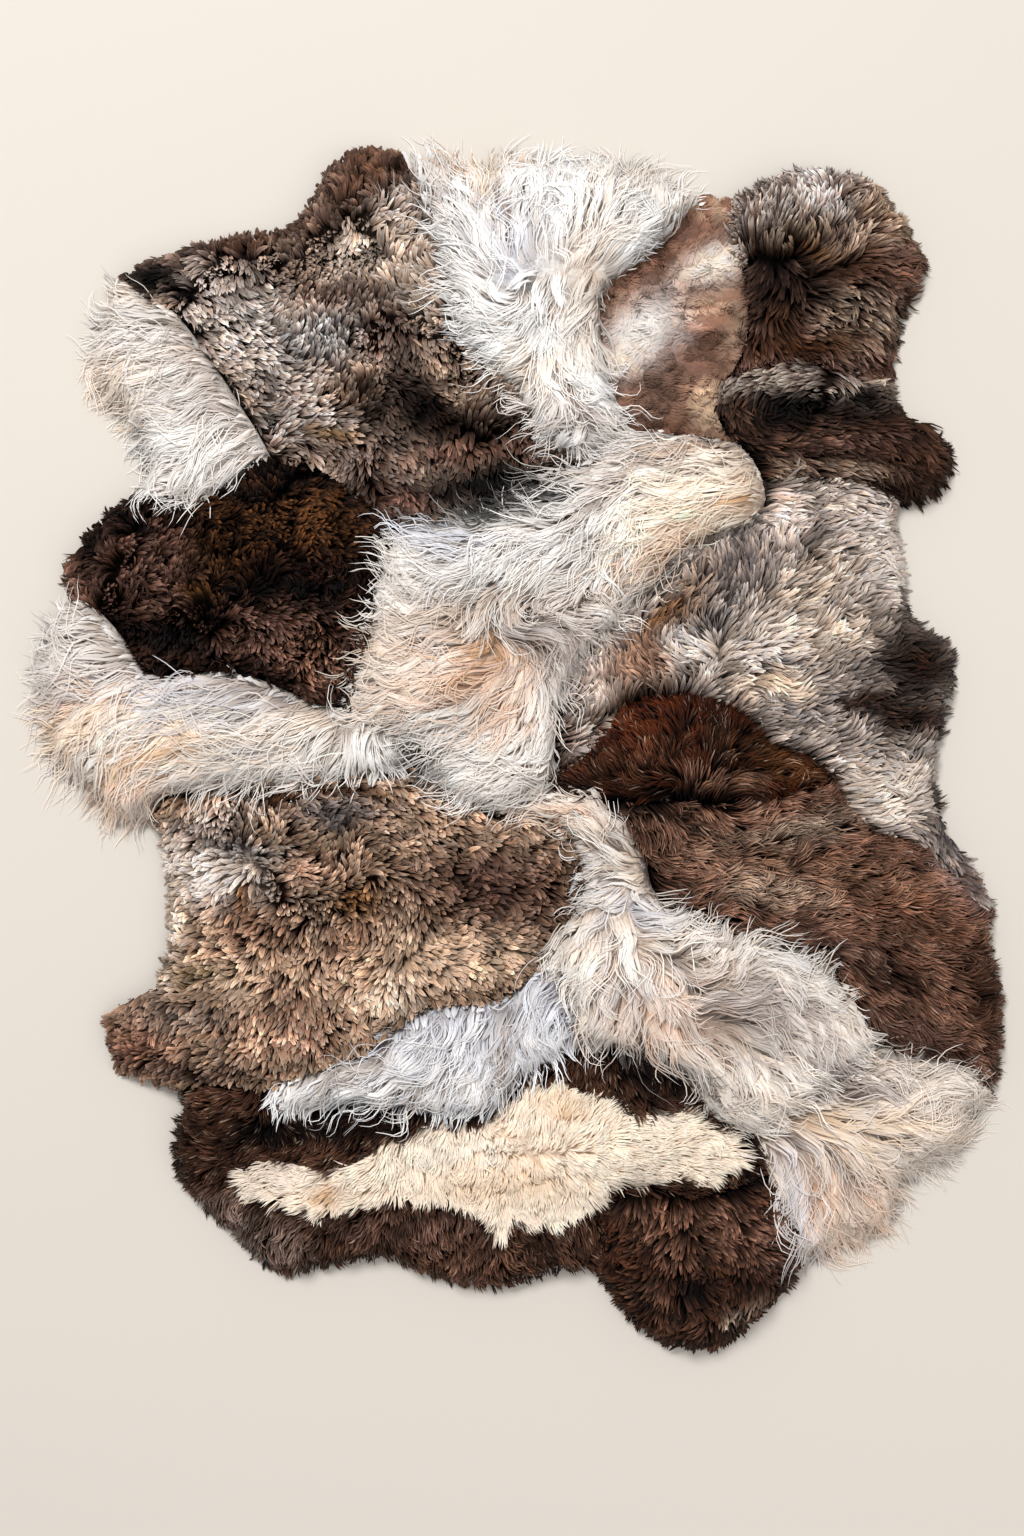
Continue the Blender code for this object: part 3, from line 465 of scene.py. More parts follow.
skinLooks["centre_fleece"] = {
    **longWool, "length": 68, "base": ("white", "snow"),
    "comb": [
        (735, 490, 205), (700, 510, 215), (660, 545, 222), (625, 570, 204), (650, 465, 178), (600, 470, 192),
        (590, 500, 228), (560, 535, 222), (520, 565, 198), (460, 575, 176), (410, 562, 160), (380, 575, 168),
        (385, 610, 184), (540, 500, 190), (500, 525, 178), (450, 538, 162), (560, 595, 184), (520, 600, 196),
        (500, 618, 262), (515, 640, -30), (545, 636, 6), (590, 618, -16), (625, 640, -14), (570, 660, -80),
        (480, 605, 190), (450, 640, 172), (470, 670, 186), (400, 690, 198), (500, 700, -118), (545, 715, -72),
        (548, 760, -98), (430, 745, 222), (480, 778, 200), (520, 790, 190), (440, 790, 205), (620, 590, 196),
    ],
    "patches": [
        (705, 508, 72, 42, 22, "butter", "candle"), (690, 530, 40, 14, 30, "cream", "butter"),
        (718, 512, 10, 5, 20, "amber", "cream"), (655, 560, 56, 12, 38, "peach", "ivory"),
        (640, 468, 60, 12, 12, "ivory", "white"), (575, 525, 66, 22, 42, "snow", "snow"),
        (500, 565, 60, 16, 12, "snow", "snow"), (505, 612, 62, 20, 0, "shade", "ivory"),
        # (478, 518) and (538, 500): the neighbour's dark wool and painted shade of the valley between the skins
        (478, 518, 74, 18, 14, "black", "black"), (538, 500, 30, 12, 24, "black", "black"),
        (455, 548, 44, 10, -10, "cool", "cool"), (528, 622, 26, 16, 0, "shade", "cloud"),
        (530, 650, 44, 8, -6, "shade", "white"), (445, 685, 64, 24, 12, "peach", "ivory"),
        (482, 655, 46, 12, -20, "amber", "peach"), (500, 700, 30, 30, 0, "peach", "ivory"),
        (520, 770, 50, 16, 20, "white", "snow"), (590, 640, 34, 14, -10, "shade", "white"),
        (470, 622, 60, 7, 0, "beige", "ivory"), (560, 655, 16, 20, 0, "taupe", "cloud"),
        (385, 655, 30, 36, 0, "beige", "ivory"), (690, 458, 50, 7, 4, "taupe", "sand"),
        # (416, 762) is a painted shadow in the gap beside the train fleece's rolled end
        (416, 762, 20, 30, 10, "black", "bark"), (590, 600, 30, 8, 10, "shade", "ivory"),
        (520, 640, 30, 8, 30, "shade", "cloud"), (600, 505, 50, 6, 35, "shade", "white"),
        (570, 700, 8, 40, 0, "shade", "white"),
    ],
}
skinLooks["bear_hide"] = {
    **curlyWool, "slot": "dark_wool", "base": ("coal", "bark"),
    "comb": [
        (110, 540, 170), (85, 570, 185), (120, 515, 130), (150, 600, -20), (200, 520, 15), (300, 495, -60),
        (250, 560, 60), (300, 620, 10), (250, 640, -25), (320, 665, -62), (180, 660, -140), (355, 560, 10),
        (280, 480, 110), (340, 520, -20), (200, 580, 100), (150, 545, 20),
    ],
    "patches": [
        (285, 512, 84, 26, 0, "coal", "gold"), (215, 560, 44, 30, 20, "coal", "gold"),
        (265, 640, 76, 26, -8, "bark", "mauve"), (330, 665, 32, 34, -40, "bark", "mocha"),
        (140, 595, 56, 20, 0, "sepia", "mauve"), (150, 560, 46, 28, 0, "bark", "mauve"),
        (92, 548, 13, 20, 0, "black", "bark"), (305, 592, 56, 9, 0, "black", "black"),
        (180, 645, 40, 12, -8, "black", "coal"), (212, 612, 26, 14, -60, "black", "bark"),
        (335, 545, 34, 20, 0, "coal", "gold"), (72, 580, 12, 24, 20, "umber", "mauve"),
        (250, 500, 20, 8, 0, "black", "coal"), (200, 590, 20, 10, 0, "black", "gold"),
        (290, 545, 24, 8, 20, "black", "gold"),
    ],
}
skinLooks["train_fleece"] = {
    **longWool, "length": 80, "base": ("white", "snow"),
    "comb": [
        (58, 620, 150), (100, 650, 188), (60, 700, 186), (130, 700, 184), (200, 690, 188), (250, 700, 198),
        (300, 740, 184), (200, 752, 190), (105, 745, 206), (60, 762, 218), (105, 800, 232), (132, 820, 250),
        (175, 780, 204), (372, 745, -98), (345, 735, 200), (90, 620, 175), (390, 750, -88),
    ],
    "patches": [
        (200, 740, 120, 9, 4, "cream", "ivory"), (130, 790, 70, 24, 20, "peach", "ivory"),
        (70, 695, 50, 66, 0, "cloud", "white"), (230, 692, 70, 14, -6, "cloud", "cool"),
        (80, 730, 60, 18, 15, "cream", "ivory"), (250, 768, 110, 8, 3, "ivory", "snow"),
        (375, 745, 30, 30, 0, "snow", "snow"), (230, 714, 70, 5, 0, "shade", "white"),
        (60, 650, 30, 26, 0, "white", "snow"), (110, 705, 60, 7, 8, "peach", "white"),
        (280, 730, 60, 10, 0, "ivory", "snow"), (170, 760, 60, 5, 10, "amber", "cream"),
        (110, 660, 30, 8, 30, "cloud", "white"),
    ],
}
skinLooks["fawn_hide"] = {
    **leafyWool, "slot": "fawn_wool", "length": 21, "base": ("fawn", "sand"),
    "comb": [
        (180, 830, 215), (215, 815, -115), (250, 830, 62), (180, 880, 190), (222, 868, 205), (240, 905, -125),
        (300, 860, 10), (350, 850, 60), (300, 820, 22), (400, 820, -20), (450, 870, -15), (520, 900, -20),
        (400, 900, -62), (480, 960, -25), (520, 975, -35), (350, 960, -120), (300, 1000, -100), (250, 990, -98),
        (200, 955, 195), (180, 1000, 182), (130, 1030, 188), (122, 1060, 218), (200, 1060, 202), (300, 1060, -95),
        (360, 1020, -80), (420, 990, -55), (170, 920, 185),
    ],
    "patches": [
        (250, 850, 40, 9, -10, "slate", "pearl"), (202, 872, 66, 30, -6, "pearl", "snow"),
        (290, 796, 140, 9, 2, "bark", "gold"), (345, 815, 50, 12, 0, "slate", "ash"),
        (215, 830, 44, 14, 20, "taupe", "pearl"), (465, 955, 68, 28, 0, "sand", "peach"),
        (405, 905, 30, 30, 0, "umber", "sand"), (500, 888, 94, 42, -8, "sepia", "mauve"),
        (560, 890, 16, 44, 0, "bark", "fawn"), (362, 905, 24, 22, 20, "bark", "ochre"),
        (243, 902, 10, 16, 0, "bark", "ochre"), (265, 930, 50, 22, -20, "umber", "fawn"),
        (168, 935, 16, 64, -8, "beige", "pearl"), (200, 975, 30, 12, 0, "olive", "sand"),
        (135, 1045, 52, 32, 0, "sepia", "mocha"), (190, 1015, 46, 14, 0, "taupe", "beige"),
        (190, 1072, 70, 10, 0, "bark", "taupe"), (285, 1030, 50, 34, 0, "mocha", "sand"),
        (395, 1000, 26, 20, 0, "sand", "ivory"), (305, 905, 44, 12, -40, "sepia", "beige"),
        (240, 985, 20, 14, 0, "sand", "peach"), (430, 840, 60, 9, 0, "fawn", "beige"),
        (350, 945, 30, 12, 30, "umber", "fawn"), (320, 870, 30, 16, 0, "mocha", "peach"),
        (440, 915, 20, 10, 0, "bark", "fawn"),
    ],
}
skinLooks["russet_hide"] = {
    **downyWool, "slot": "dark_wool", "length": 34, "base": ("coal", "rust"),
    "comb": [
        (700, 725, 88), (645, 742, 128), (760, 742, 48), (590, 780, 165), (805, 770, 4), (650, 790, 188),
        (750, 790, -5), (700, 762, 95), (620, 760, 140), (780, 755, 25), (715, 792, 80),
    ],
    "patches": [
        (712, 740, 20, 26, 0, "black", "bark"), (690, 797, 90, 8, 0, "black", "bark"),
        (630, 765, 60, 18, 20, "bark", "chestnut"), (775, 762, 46, 16, -15, "bark", "gold"),
        (722, 782, 30, 10, 0, "chestnut", "fawn"), (700, 775, 28, 8, 0, "bark", "mocha"),
        (580, 785, 24, 8, 0, "coal", "bark"), (660, 735, 30, 12, 30, "bark", "rust"),
    ],
}
skinLooks["chestnut_hide"] = {
    **downyWool, "slot": "dark_wool", "length": 32, "base": ("bark", "mocha"),
    "comb": [
        (640, 830, -62), (700, 822, -30), (760, 830, 32), (830, 815, 12), (700, 872, 10), (750, 880, 22),
        (800, 900, -5), (900, 860, 5), (950, 870, -22), (960, 920, -4), (985, 960, -8), (850, 960, -40),
        (900, 1000, -32), (985, 1020, -10), (930, 1045, -18), (975, 1085, -12), (760, 920, -32), (830, 930, -25),
    ],
    "patches": [
        (660, 818, 50, 10, -10, "coal", "bark"), (760, 890, 80, 16, -8, "umber", "beige"),
        (735, 852, 64, 12, -5, "sepia", "fawn"), (880, 970, 50, 18, -25, "black", "bark"),
        (960, 885, 32, 22, -40, "slate", "slate"), (900, 900, 60, 26, 0, "chestnut", "mocha"),
        (985, 1000, 22, 54, 0, "bark", "umber"), (905, 1035, 60, 20, -15, "bark", "mauve"),
        (965, 1085, 26, 14, -20, "coal", "sable"), (800, 828, 60, 12, 10, "bark", "beige"),
        (690, 880, 30, 14, 0, "bark", "mocha"), (835, 945, 44, 10, -30, "sepia", "mauve"),
        (850, 872, 64, 14, -10, "chestnut", "fawn"), (930, 930, 40, 10, -20, "bark", "umber"),
    ],
}
skinLooks["mane_fleece"] = {
    **longWool, "length": 60, "base": ("ivory", "snow"),
    "comb": [
        (590, 805, 150), (555, 805, 178), (515, 822, 218), (612, 835, 120), (625, 870, 190), (585, 890, 205),
        (645, 915, -25), (690, 925, 30), (740, 955, 42), (800, 965, 20), (825, 995, -12), (858, 1030, -38),
        (720, 990, 12), (600, 950, -125), (605, 1010, -100), (560, 990, -140), (650, 990, -80), (650, 1040, -88),
        (700, 1060, -50), (745, 1085, -38), (785, 1075, -18), (725, 1112, -15), (800, 1035, -20), (680, 1080, -65),
    ],
    "patches": [
        (660, 1015, 56, 30, -10, "peach", "white"), (672, 966, 34, 8, 0, "shade", "white"),
        (690, 985, 16, 12, 0, "shade", "peach"), (745, 1010, 50, 28, 0, "shade", "cloud"),
        (740, 1088, 50, 16, -30, "ivory", "white"), (560, 815, 44, 10, 0, "peach", "ivory"),
        (590, 880, 14, 50, 10, "cloud", "snow"), (785, 955, 50, 16, -20, "white", "snow"),
        (825, 1062, 30, 18, -30, "shade", "cloud"), (640, 915, 40, 10, -20, "cool", "white"),
        (620, 985, 30, 26, 0, "cloud", "white"), (640, 860, 8, 40, 10, "shade", "white"),
        (700, 940, 30, 6, 20, "shade", "white"), (600, 830, 30, 6, 0, "shade", "ivory"),
        (640, 1066, 66, 19, -16, "black", "bark"),
    ],
}
skinLooks["mist_fleece"] = {
    **longWool, "length": 52, "base": ("cool", "chalk"),
    "comb": [
        (545, 985, -140), (500, 1020, -118), (450, 1030, -108), (420, 1060, -122), (350, 1072, 205),
        (298, 1090, 240), (480, 1070, -92), (520, 1050, -62), (380, 1085, 212), (450, 1090, -100),
    ],
    "patches": [
        (470, 1030, 60, 22, 0, "cool", "snow"), (520, 1010, 40, 20, 30, "cool", "cloud"),
        (300, 1090, 24, 14, 0, "snow", "snow"), (440, 1085, 60, 12, 0, "white", "snow"),
        (360, 1070, 44, 9, 15, "shade", "white"), (500, 1060, 8, 30, 0, "shade", "white"),
        (366, 1113, 48, 14, 2, "black", "bark"),
    ],
}
skinLooks["plume_fleece"] = {
    **longWool, "length": 78, "base": ("ivory", "white"),
    "comb": [
        (780, 1130, -5), (805, 1108, 2), (860, 1100, 10), (940, 1080, 14), (965, 1110, 0), (920, 1140, -15),
        (860, 1150, -32), (960, 1150, -20), (800, 1170, -68), (830, 1200, -62), (870, 1220, -50), (800, 1220, -76),
        (890, 1180, -36), (782, 1200, -92), (770, 1150, -70),
    ],
    "patches": [
        (870, 1125, 70, 18, -5, "cream", "white"), (860, 1085, 44, 9, 0, "shade", "cloud"),
        (795, 1195, 20, 54, 10, "cloud", "cool"), (845, 1200, 46, 38, -45, "peach", "ivory"),
        (940, 1095, 44, 14, 5, "ivory", "white"), (835, 1112, 24, 10, 0, "cream", "white"),
        (930, 1160, 40, 14, -25, "ivory", "snow"), (900, 1140, 50, 5, -10, "shade", "ivory"),
        (840, 1180, 8, 40, 25, "shade", "ivory"), (925, 1046, 56, 14, -8, "black", "bark"),
        (800, 1140, 20, 6, -20, "shade", "white"),
    ],
}
skinLooks["sable_hide"] = {
    **markedWool, "slot": "dark_wool", "length": 23, "base": ("bark", "umber"),
    "comb": [
        (200, 1130, 180), (188, 1170, 208), (230, 1220, 232), (280, 1252, 252), (300, 1120, -60), (400, 1128, 200),
        (350, 1250, -92), (420, 1250, -76), (480, 1265, -72), (550, 1250, -62), (650, 1078, -62), (600, 1066, -90),
        (745, 1172, -30), (250, 1170, 192), (300, 1165, 150), (350, 1180, 205), (400, 1150, -80), (450, 1190, -80),
        (500, 1200, -95), (540, 1108, 82), (600, 1115, 62), (555, 1195, -72), (620, 1160, -10), (690, 1128, 34),
        (700, 1165, -8), (735, 1150, 8), (585, 1222, -62),
    ],
    "patches": [
        (300, 1128, 110, 14, 2, "black", "black"), (360, 1120, 70, 9, 5, "black", "bark"),
        (645, 1070, 70, 20, -20, "black", "bark"), (200, 1160, 34, 40, 0, "bark", "sepia"),
        (240, 1225, 36, 20, -40, "sepia", "ash"), (280, 1240, 30, 20, 0, "sepia", "ash"),
        (400, 1228, 90, 18, 0, "sepia", "mauve"), (470, 1262, 80, 16, 5, "bark", "mocha"),
        (560, 1250, 30, 20, 0, "coal", "umber"), (440, 1210, 30, 8, 0, "coal", "umber"),
        (745, 1160, 10, 30, 0, "black", "coal"),
    ],
    "marking": {  # the cream marking's edge, and its colours
        "edge": [
            (244, 1178), (244, 1162), (262, 1154), (300, 1154), (330, 1162), (352, 1148), (392, 1130), (430, 1114),
            (475, 1110), (508, 1104), (520, 1084), (560, 1080), (592, 1092), (620, 1101), (655, 1098), (690, 1108),
            (720, 1122), (742, 1142), (742, 1160), (722, 1176), (690, 1188), (652, 1184), (618, 1186), (596, 1200),
            (572, 1220), (545, 1226), (518, 1218), (500, 1234), (486, 1222), (472, 1202), (440, 1199), (400, 1194),
            (368, 1204), (340, 1212), (306, 1216), (290, 1206), (262, 1198), (248, 1190),
        ],
        "colours": ("butter", "candle"),
        "patches": [
            (328, 1196, 17, 12, 0, "amber", "cream"), (440, 1150, 60, 14, 10, "candle", "candle"),
            (480, 1185, 44, 14, 0, "cream", "butter"), (560, 1100, 30, 12, 0, "cream", "butter"),
            (280, 1172, 44, 18, 0, "ivory", "ivory"), (530, 1180, 40, 16, 0, "cream", "butter"),
        ],
    },
}
skinLooks["paw_hide"] = {
    **streakyWool, "slot": "dark_wool", "length": 26, "base": ("coal", "chestnut"),
    "comb": [
        (640, 1200, -125), (665, 1205, -115), (700, 1205, -90), (730, 1210, -55), (620, 1220, -150),
        (640, 1250, -130), (615, 1285, -150), (680, 1260, -100), (720, 1260, -60), (660, 1325, -115),
        (700, 1340, -85), (742, 1318, -52), (772, 1290, -32), (792, 1240, -12), (760, 1215, -10),
    ],
    "patches": [
        (694, 1292, 24, 15, 0, "black", "coal"), (640, 1205, 50, 10, 5, "coal", "umber"),
        (730, 1225, 44, 26, -20, "bark", "mocha"), (652, 1300, 30, 18, -40, "coal", "umber"),
        (700, 1335, 44, 12, 0, "coal", "sepia"), (735, 1312, 24, 9, 30, "coal", "beige"),
        (690, 1210, 40, 12, 0, "bark", "mocha"), (780, 1255, 16, 34, 10, "bark", "mauve"),
        (665, 1245, 34, 14, -40, "bark", "mocha"),
    ],
}


# what holds for the growth of all wool, in mm where it is a length
growth = {
    "combNear": 15.0, "combFall": 1.6,  # how soon one stroke of the comb gives way to the next
    "patchFall": 0.7, "patchPower": 1.5, "patchWobble": 7, "wobbleSize": 22,  # edges of the patches of colour
    "markWobble": 5, "markWobbleSize": 9,
    "markEdge": (6, 11),  # the marking's wool stands this far inside its edge and hangs out to it
    "steps": 10, "kinBend": 1.5, "bendFrom": 0.3, "waveShare": (0.4, 1.4), "phase": 9,  # a tuft's line
    "parting": (0.3, 0.8),  # the least step where the strokes disagree, and how far they agree for a whole one
    "joinShare": (0.7, 1.15), "farShares": (0.8, 0.2), "fanOwn": 0.5, "flyTurn": 0.4,  # strands within a tuft
    "cut": {"mean": 0.95, "spread": 0.13, "least": 0.5, "most": 1.15},  # their lengths, as shares of the tuft's
    "outer": 2.5, "mostOuter": 1.5, "mostLump": 2, "riseBy": 0.6, "topBy": 0.5, "tipsFrom": 0.55,  # heights
    "overEdge": 8, "lowest": 1.0, "lowestLift": 0.8,
    "ribbonWidths": (0.6, 1.25), "rollSpread": 0.7, "floorGap": 0.4,
}
shading = {
    "white": (0.25, 0.6),  # from how light on wool begins to count as white, and counts in full
    "fleck": "beige", "fleckShare": (0.2, 0.7), "blotches": (16, 38), "light": (-2.2, 0.8), "palerSpread": 0.35,
    "rootsTo": 0.55, "whiteRootShade": 0.7, "whiteRootShadeTone": (0, 0.09, 0.16),  # painted shade toward the roots, kept light and warm on white wool
    "warmTone": (1, 0.1, -1), "range": (0.0015, 0.98),
}


def combed(look):  # the way the wool points at each place, in radians, and how far the strokes round it agree
    strokes = np.array(look["comb"], float)
    at, turn = laidOut(strokes[:, 0], strokes[:, 1]), np.radians(strokes[:, 2])
    ways = np.stack([np.cos(turn), np.sin(turn)], -1)

    def way(place):
        near = (((place[:, None] - at) ** 2).sum(-1) + growth["combNear"] ** 2) ** -growth["combFall"]
        pull = near @ ways / near.sum(1, keepdims=True)
        return np.arctan2(pull[:, 1], pull[:, 0]), np.hypot(pull[:, 0], pull[:, 1])
    return way


def patchShare(place, x, y, halfLength, halfWidth, turn):
    away = place - laidOut(x, y)
    turn = math.radians(turn)
    along = away @ np.array([math.cos(turn), math.sin(turn)])
    across = away @ np.array([-math.sin(turn), math.cos(turn)])
    far = (along / halfLength) ** 2 + (across / halfWidth) ** 2
    return np.exp(-(far ** growth["patchPower"]) * growth["patchFall"])


def wobble(place, size, seeds):
    return np.stack([softNoise(place, size, seed) for seed in seeds], -1)


def woolColours(place, base, patches, seed):  # colour of the wool and of its tips at each place
    moved = place + wobble(place, growth["wobbleSize"], (seed + 1, seed + 2)) * growth["patchWobble"]
    body, tips = (np.tile(linear(wools[name]), (len(place), 1)) for name in base)
    for *shape, colour, tipColour in patches:
        share = patchShare(moved, *shape)[:, None]
        body += (linear(wools[colour]) - body) * share
        tips += (linear(wools[tipColour]) - tips) * share
    return body, tips


def markingShare(place, edge):  # 1 inside the marking, 0 outside, with a soft edge
    ring = laidOut(*np.array(edge, float).T)
    moved = place + wobble(place, growth["markWobbleSize"], (71, 72)) * growth["markWobble"]
    return smoothStep(-signedDistance(moved, ring[::-1]), *growth["markEdge"])


def paleness(colour):  # 1 for white wool, 0 for dark
    return smoothStep(colour.mean(-1, keepdims=True), *shading["white"])


def scatter(triangles, count, dice):  # places spread evenly over the underside
    a, b, c = triangles[:, 0], triangles[:, 1], triangles[:, 2]
    areas = np.abs(np.cross(b - a, c - a)) / 2
    pick = dice.choice(len(areas), count, p=areas / areas.sum())
    u, v = dice.random(count), dice.random(count)
    flip = u + v > 1
    u, v = np.where(flip, 1 - u, u), np.where(flip, 1 - v, v)
    return a[pick] + (b - a)[pick] * u[:, None] + (c - a)[pick] * v[:, None]


def rootsOf(name, look, layer, dice):  # where the strands of a layer stand
    edges = flats[name][:, 1:] - flats[name][:, :1]
    area = np.abs(np.cross(edges[:, 0], edges[:, 1])).sum() / 2
    roots = scatter(flats[name], int(area / 100 * layer["strands"]), dice)
    roots = roots[sampled(rimDistance, roots) < -layer["rimMargin"]]
    if layer["where"] == "all":
        return roots
    marked = markingShare(roots, look["marking"]["edge"]) > 0.5
    return roots[marked if layer["where"] == "marking" else ~marked]


def tuftsOf(name, look, layer, seed):  # the tufts of a skin: where each stands and the line that it follows
    size, steps = layer["clump"], growth["steps"]
    dice = np.random.default_rng(seed + int(size))  # layers with tufts of one size share them
    low = loops[name].min(0) - 2 * size
    columns, rows = np.ceil((loops[name].max(0) + 2 * size - low) / size).astype(int)
    squares = np.stack(np.meshgrid(np.arange(columns), np.arange(rows)), -1).reshape(-1, 2)
    stands = (squares + dice.random(squares.shape)) * size + low
    count = len(stands)
    way = combed(look)
    length = look["length"] * layer["longer"] * (1 + layer["spread"] * dice.uniform(-1, 1, count))
    kin = [softNoise(stands, layer["kin"], seed + i) for i in (5, 6, 7)]
    turn = np.radians(layer["stray"]) * dice.normal(0, 1, count) + np.radians(layer["swirl"]) * kin[0]
    bend = np.radians(layer["bend"]) * (growth["kinBend"] * kin[1] + layer["own"] * dice.normal(0, 1, count))
    wave = np.radians(layer["wave"]) * dice.uniform(*growth["waveShare"], count)
    phase = growth["phase"] * kin[2] + layer["own"] * dice.normal(0, 1, count)
    rootLean, tipLean = layer["lean"]
    leastStep, agreedEnough = growth["parting"]
    place, path = stands, [stands]
    for i in range(steps):
        t = (i + 0.5) / steps
        angle, agreed = way(place)
        angle = angle + turn + bend * (t - growth["bendFrom"]) * 2
        angle = angle + wave * np.sin(phase + t * layer["waves"] * 2 * np.pi)
        step = length / steps * (rootLean + (tipLean - rootLean) * t)
        step = step * (leastStep + (1 - leastStep) * smoothStep(agreed, 0, agreedEnough))
        place = place + step[:, None] * np.stack([np.cos(angle), np.sin(angle)], -1)
        path.append(place)
    return {
        "size": size, "low": low, "columns": columns, "stands": stands, "path": np.stack(path, 1),
        "lift": dice.random(count), "chance": dice.random(count), "light": dice.normal(0, 1, count),
        "far": dice.random(count),
    }


def nearestTuft(roots, tufts):
    column, row = ((roots - tufts["low"]) / tufts["size"]).astype(int).T
    nearest, which = np.full(len(roots), np.inf), np.zeros(len(roots), int)
    for dx in (-1, 0, 1):
        for dy in (-1, 0, 1):
            beside = (row + dy) * tufts["columns"] + column + dx
            away = ((tufts["stands"][beside] - roots) ** 2).sum(-1)
            which = np.where(away < nearest, beside, which)
            nearest = np.minimum(away, nearest)
    return which


def strandHeights(name, layer, seed, line, roots, outer, lift):
    t = np.array(layer["levels"])
    lumps = layer["lumps"][1] * softNoise(roots, layer["lumps"][0], seed + 11) - layer["dome"] * outer
    rise = layer["bed"] + (1 - layer["bed"]) * smoothStep(t, 0, growth["riseBy"])
    top = layer["proud"] + layer["layer"] * (lift - 0.5) + np.minimum(lumps, growth["mostLump"])
    up = sampled(pileHeights, line) * rise + top[:, None] * smoothStep(t, 0, growth["topBy"])
    up = up + layer["tips"] * smoothStep(t, growth["tipsFrom"], 1)
    past = smoothStep(sampled(edgeFields[name], line), -growth["overEdge"], growth["overEdge"])
    up += layer["over"] * past * (sampled(rimDistance, line) < 0)  # wool lies over the next skin, not over the floor
    return np.maximum(up, growth["lowest"] + growth["lowestLift"] * lift[:, None])


def strandLines(name, look, layer, seed, dice):  # every strand as a line of points in space, in mm
    roots = rootsOf(name, look, layer, dice)
    tufts = tuftsOf(name, look, layer, seed)
    tuft = nearestTuft(roots, tufts)
    stand, path = tufts["stands"][tuft], tufts["path"][tuft]
    count, steps, t = len(roots), growth["steps"], np.array(layer["levels"])
    offset = roots - stand
    fly = dice.random(count) < layer["fly"]
    join = np.where(fly, 0.0, layer["join"]) * dice.uniform(*growth["joinShare"], count)

    def beside(levels):  # how far each strand lies from its tuft's line
        return offset[:, None] * (1 - join[:, None] * smoothStep(levels))[..., None]

    def reachOf(key):  # how far past the edge each strand may go
        low, high = layer[key]
        return low + far * (high - low)

    # strands that leave the skin or the rug end soon after its edge
    route = path + beside(np.linspace(0, 1, steps + 1))
    far = growth["farShares"][0] * tufts["far"][tuft] + growth["farShares"][1] * dice.random(count)
    over = np.where(tufts["chance"][tuft] < layer["wisps"], reachOf("wispSpill"), reachOf("spill"))
    outside = sampled(edgeFields[name], route) > over[:, None]
    outside |= sampled(rimDistance, route) > reachOf("rimSpill")[:, None]
    reach = np.where(outside.any(1), outside.argmax(1) / steps, 1)
    cut = growth["cut"]
    share = np.clip(dice.normal(cut["mean"], cut["spread"], count), cut["least"], cut["most"])
    share = np.clip(reach, layer["least"], 1) * share
    at = np.clip(t * share[:, None], 0, 0.9999) * steps
    low = at.astype(int)
    part = (at - low)[..., None]
    row = np.arange(count)[:, None]
    run = path[row, low] * (1 - part) + path[row, low + 1] * part - stand[:, None]

    # strands of a tuft turn apart
    aside = np.cross(unit(run[:, -1]), offset) / layer["clump"] * 2
    turn = np.radians(layer["fan"]) * (aside + growth["fanOwn"] * dice.normal(0, 1, count))
    turn += np.where(fly, dice.normal(0, growth["flyTurn"], count), 0)
    cos, sin = np.cos(turn)[:, None], np.sin(turn)[:, None]
    run = np.stack([run[..., 0] * cos - run[..., 1] * sin, run[..., 0] * sin + run[..., 1] * cos], -1)
    line = stand[:, None] + run + beside(t)
    lift = tufts["lift"][tuft] * layer["together"] + dice.uniform(0, 1, count) * (1 - layer["together"])
    outer = np.minimum((offset**2).sum(-1) / layer["clump"] ** 2 * growth["outer"], growth["mostOuter"])
    up = strandHeights(name, layer, seed, line, roots, outer, lift)
    return {
        "line": np.concatenate([line, up[..., None]], -1), "roots": roots, "outer": outer,
        "outward": beside(t) / layer["clump"] * layer["round"], "light": tufts["light"][tuft],
    }


def strandColours(look, layer, grown, seed, dice):
    roots, t = grown["roots"], np.array(layer["levels"])
    count, seen = len(roots), grown["line"][:, int(len(t) * layer["seen"]), :2]
    body, tips = woolColours(seen, look["base"], look["patches"], seed)
    if "marking" in look:
        marking = look["marking"]
        share = markingShare(roots, marking["edge"])[:, None]
        markBody, markTips = woolColours(seen, marking["colours"], marking["patches"], seed + 3)
        body += (markBody - body) * share
        tips += (markTips - tips) * share
    fleck = (dice.random(count) < layer["flecks"])[:, None] * dice.uniform(*shading["fleckShare"], (count, 1))
    tips += (linear(wools[shading["fleck"]]) - tips) * fleck
    # light sums random tone of each strand, tuft and blotch, less painted shade at the tufts' sides and in creases
    light = layer["flicker"] * dice.normal(0, 1, count) + layer["tuftFlicker"] * grown["light"]
    small, large = shading["blotches"]
    light += layer["blotch"] * (softNoise(seen, small, seed + 9) + softNoise(seen, large, seed + 10))
    light -= layer["paintedGrooveShade"] * grown["outer"] + paintedCreaseShade["depth"] * sampled(paintedShadeHollows, seen)
    light = np.clip(light, *shading["light"])[:, None, None]
    paler = np.clip(dice.normal(1.0, shading["palerSpread"], count) * layer["paler"], 0, 1)[:, None, None]
    body, tips = body[:, None], tips[:, None]
    colour = body + (tips - body) * smoothStep(t, layer["tipFrom"], 1)[None, :, None] * paler
    white = paleness(body)
    # painted shade toward the roots, lighter and warm-tinted on white wool
    shade = layer["rootShade"] + max(shading["whiteRootShade"] - layer["rootShade"], 0) * white
    low = (1 - smoothStep(t, 0, shading["rootsTo"]))[None, :, None]
    colour = colour * (1 - (1 - shade) * low) * (1 - low * white * np.array(shading["whiteRootShadeTone"]))
    warm = 1 + layer["warmth"] * dice.normal(0, 1, (count, 1, 1)) * np.array(shading["warmTone"])
    return np.clip(colour * np.exp(light * (1 - layer["calm"] * white)) * warm, *shading["range"])


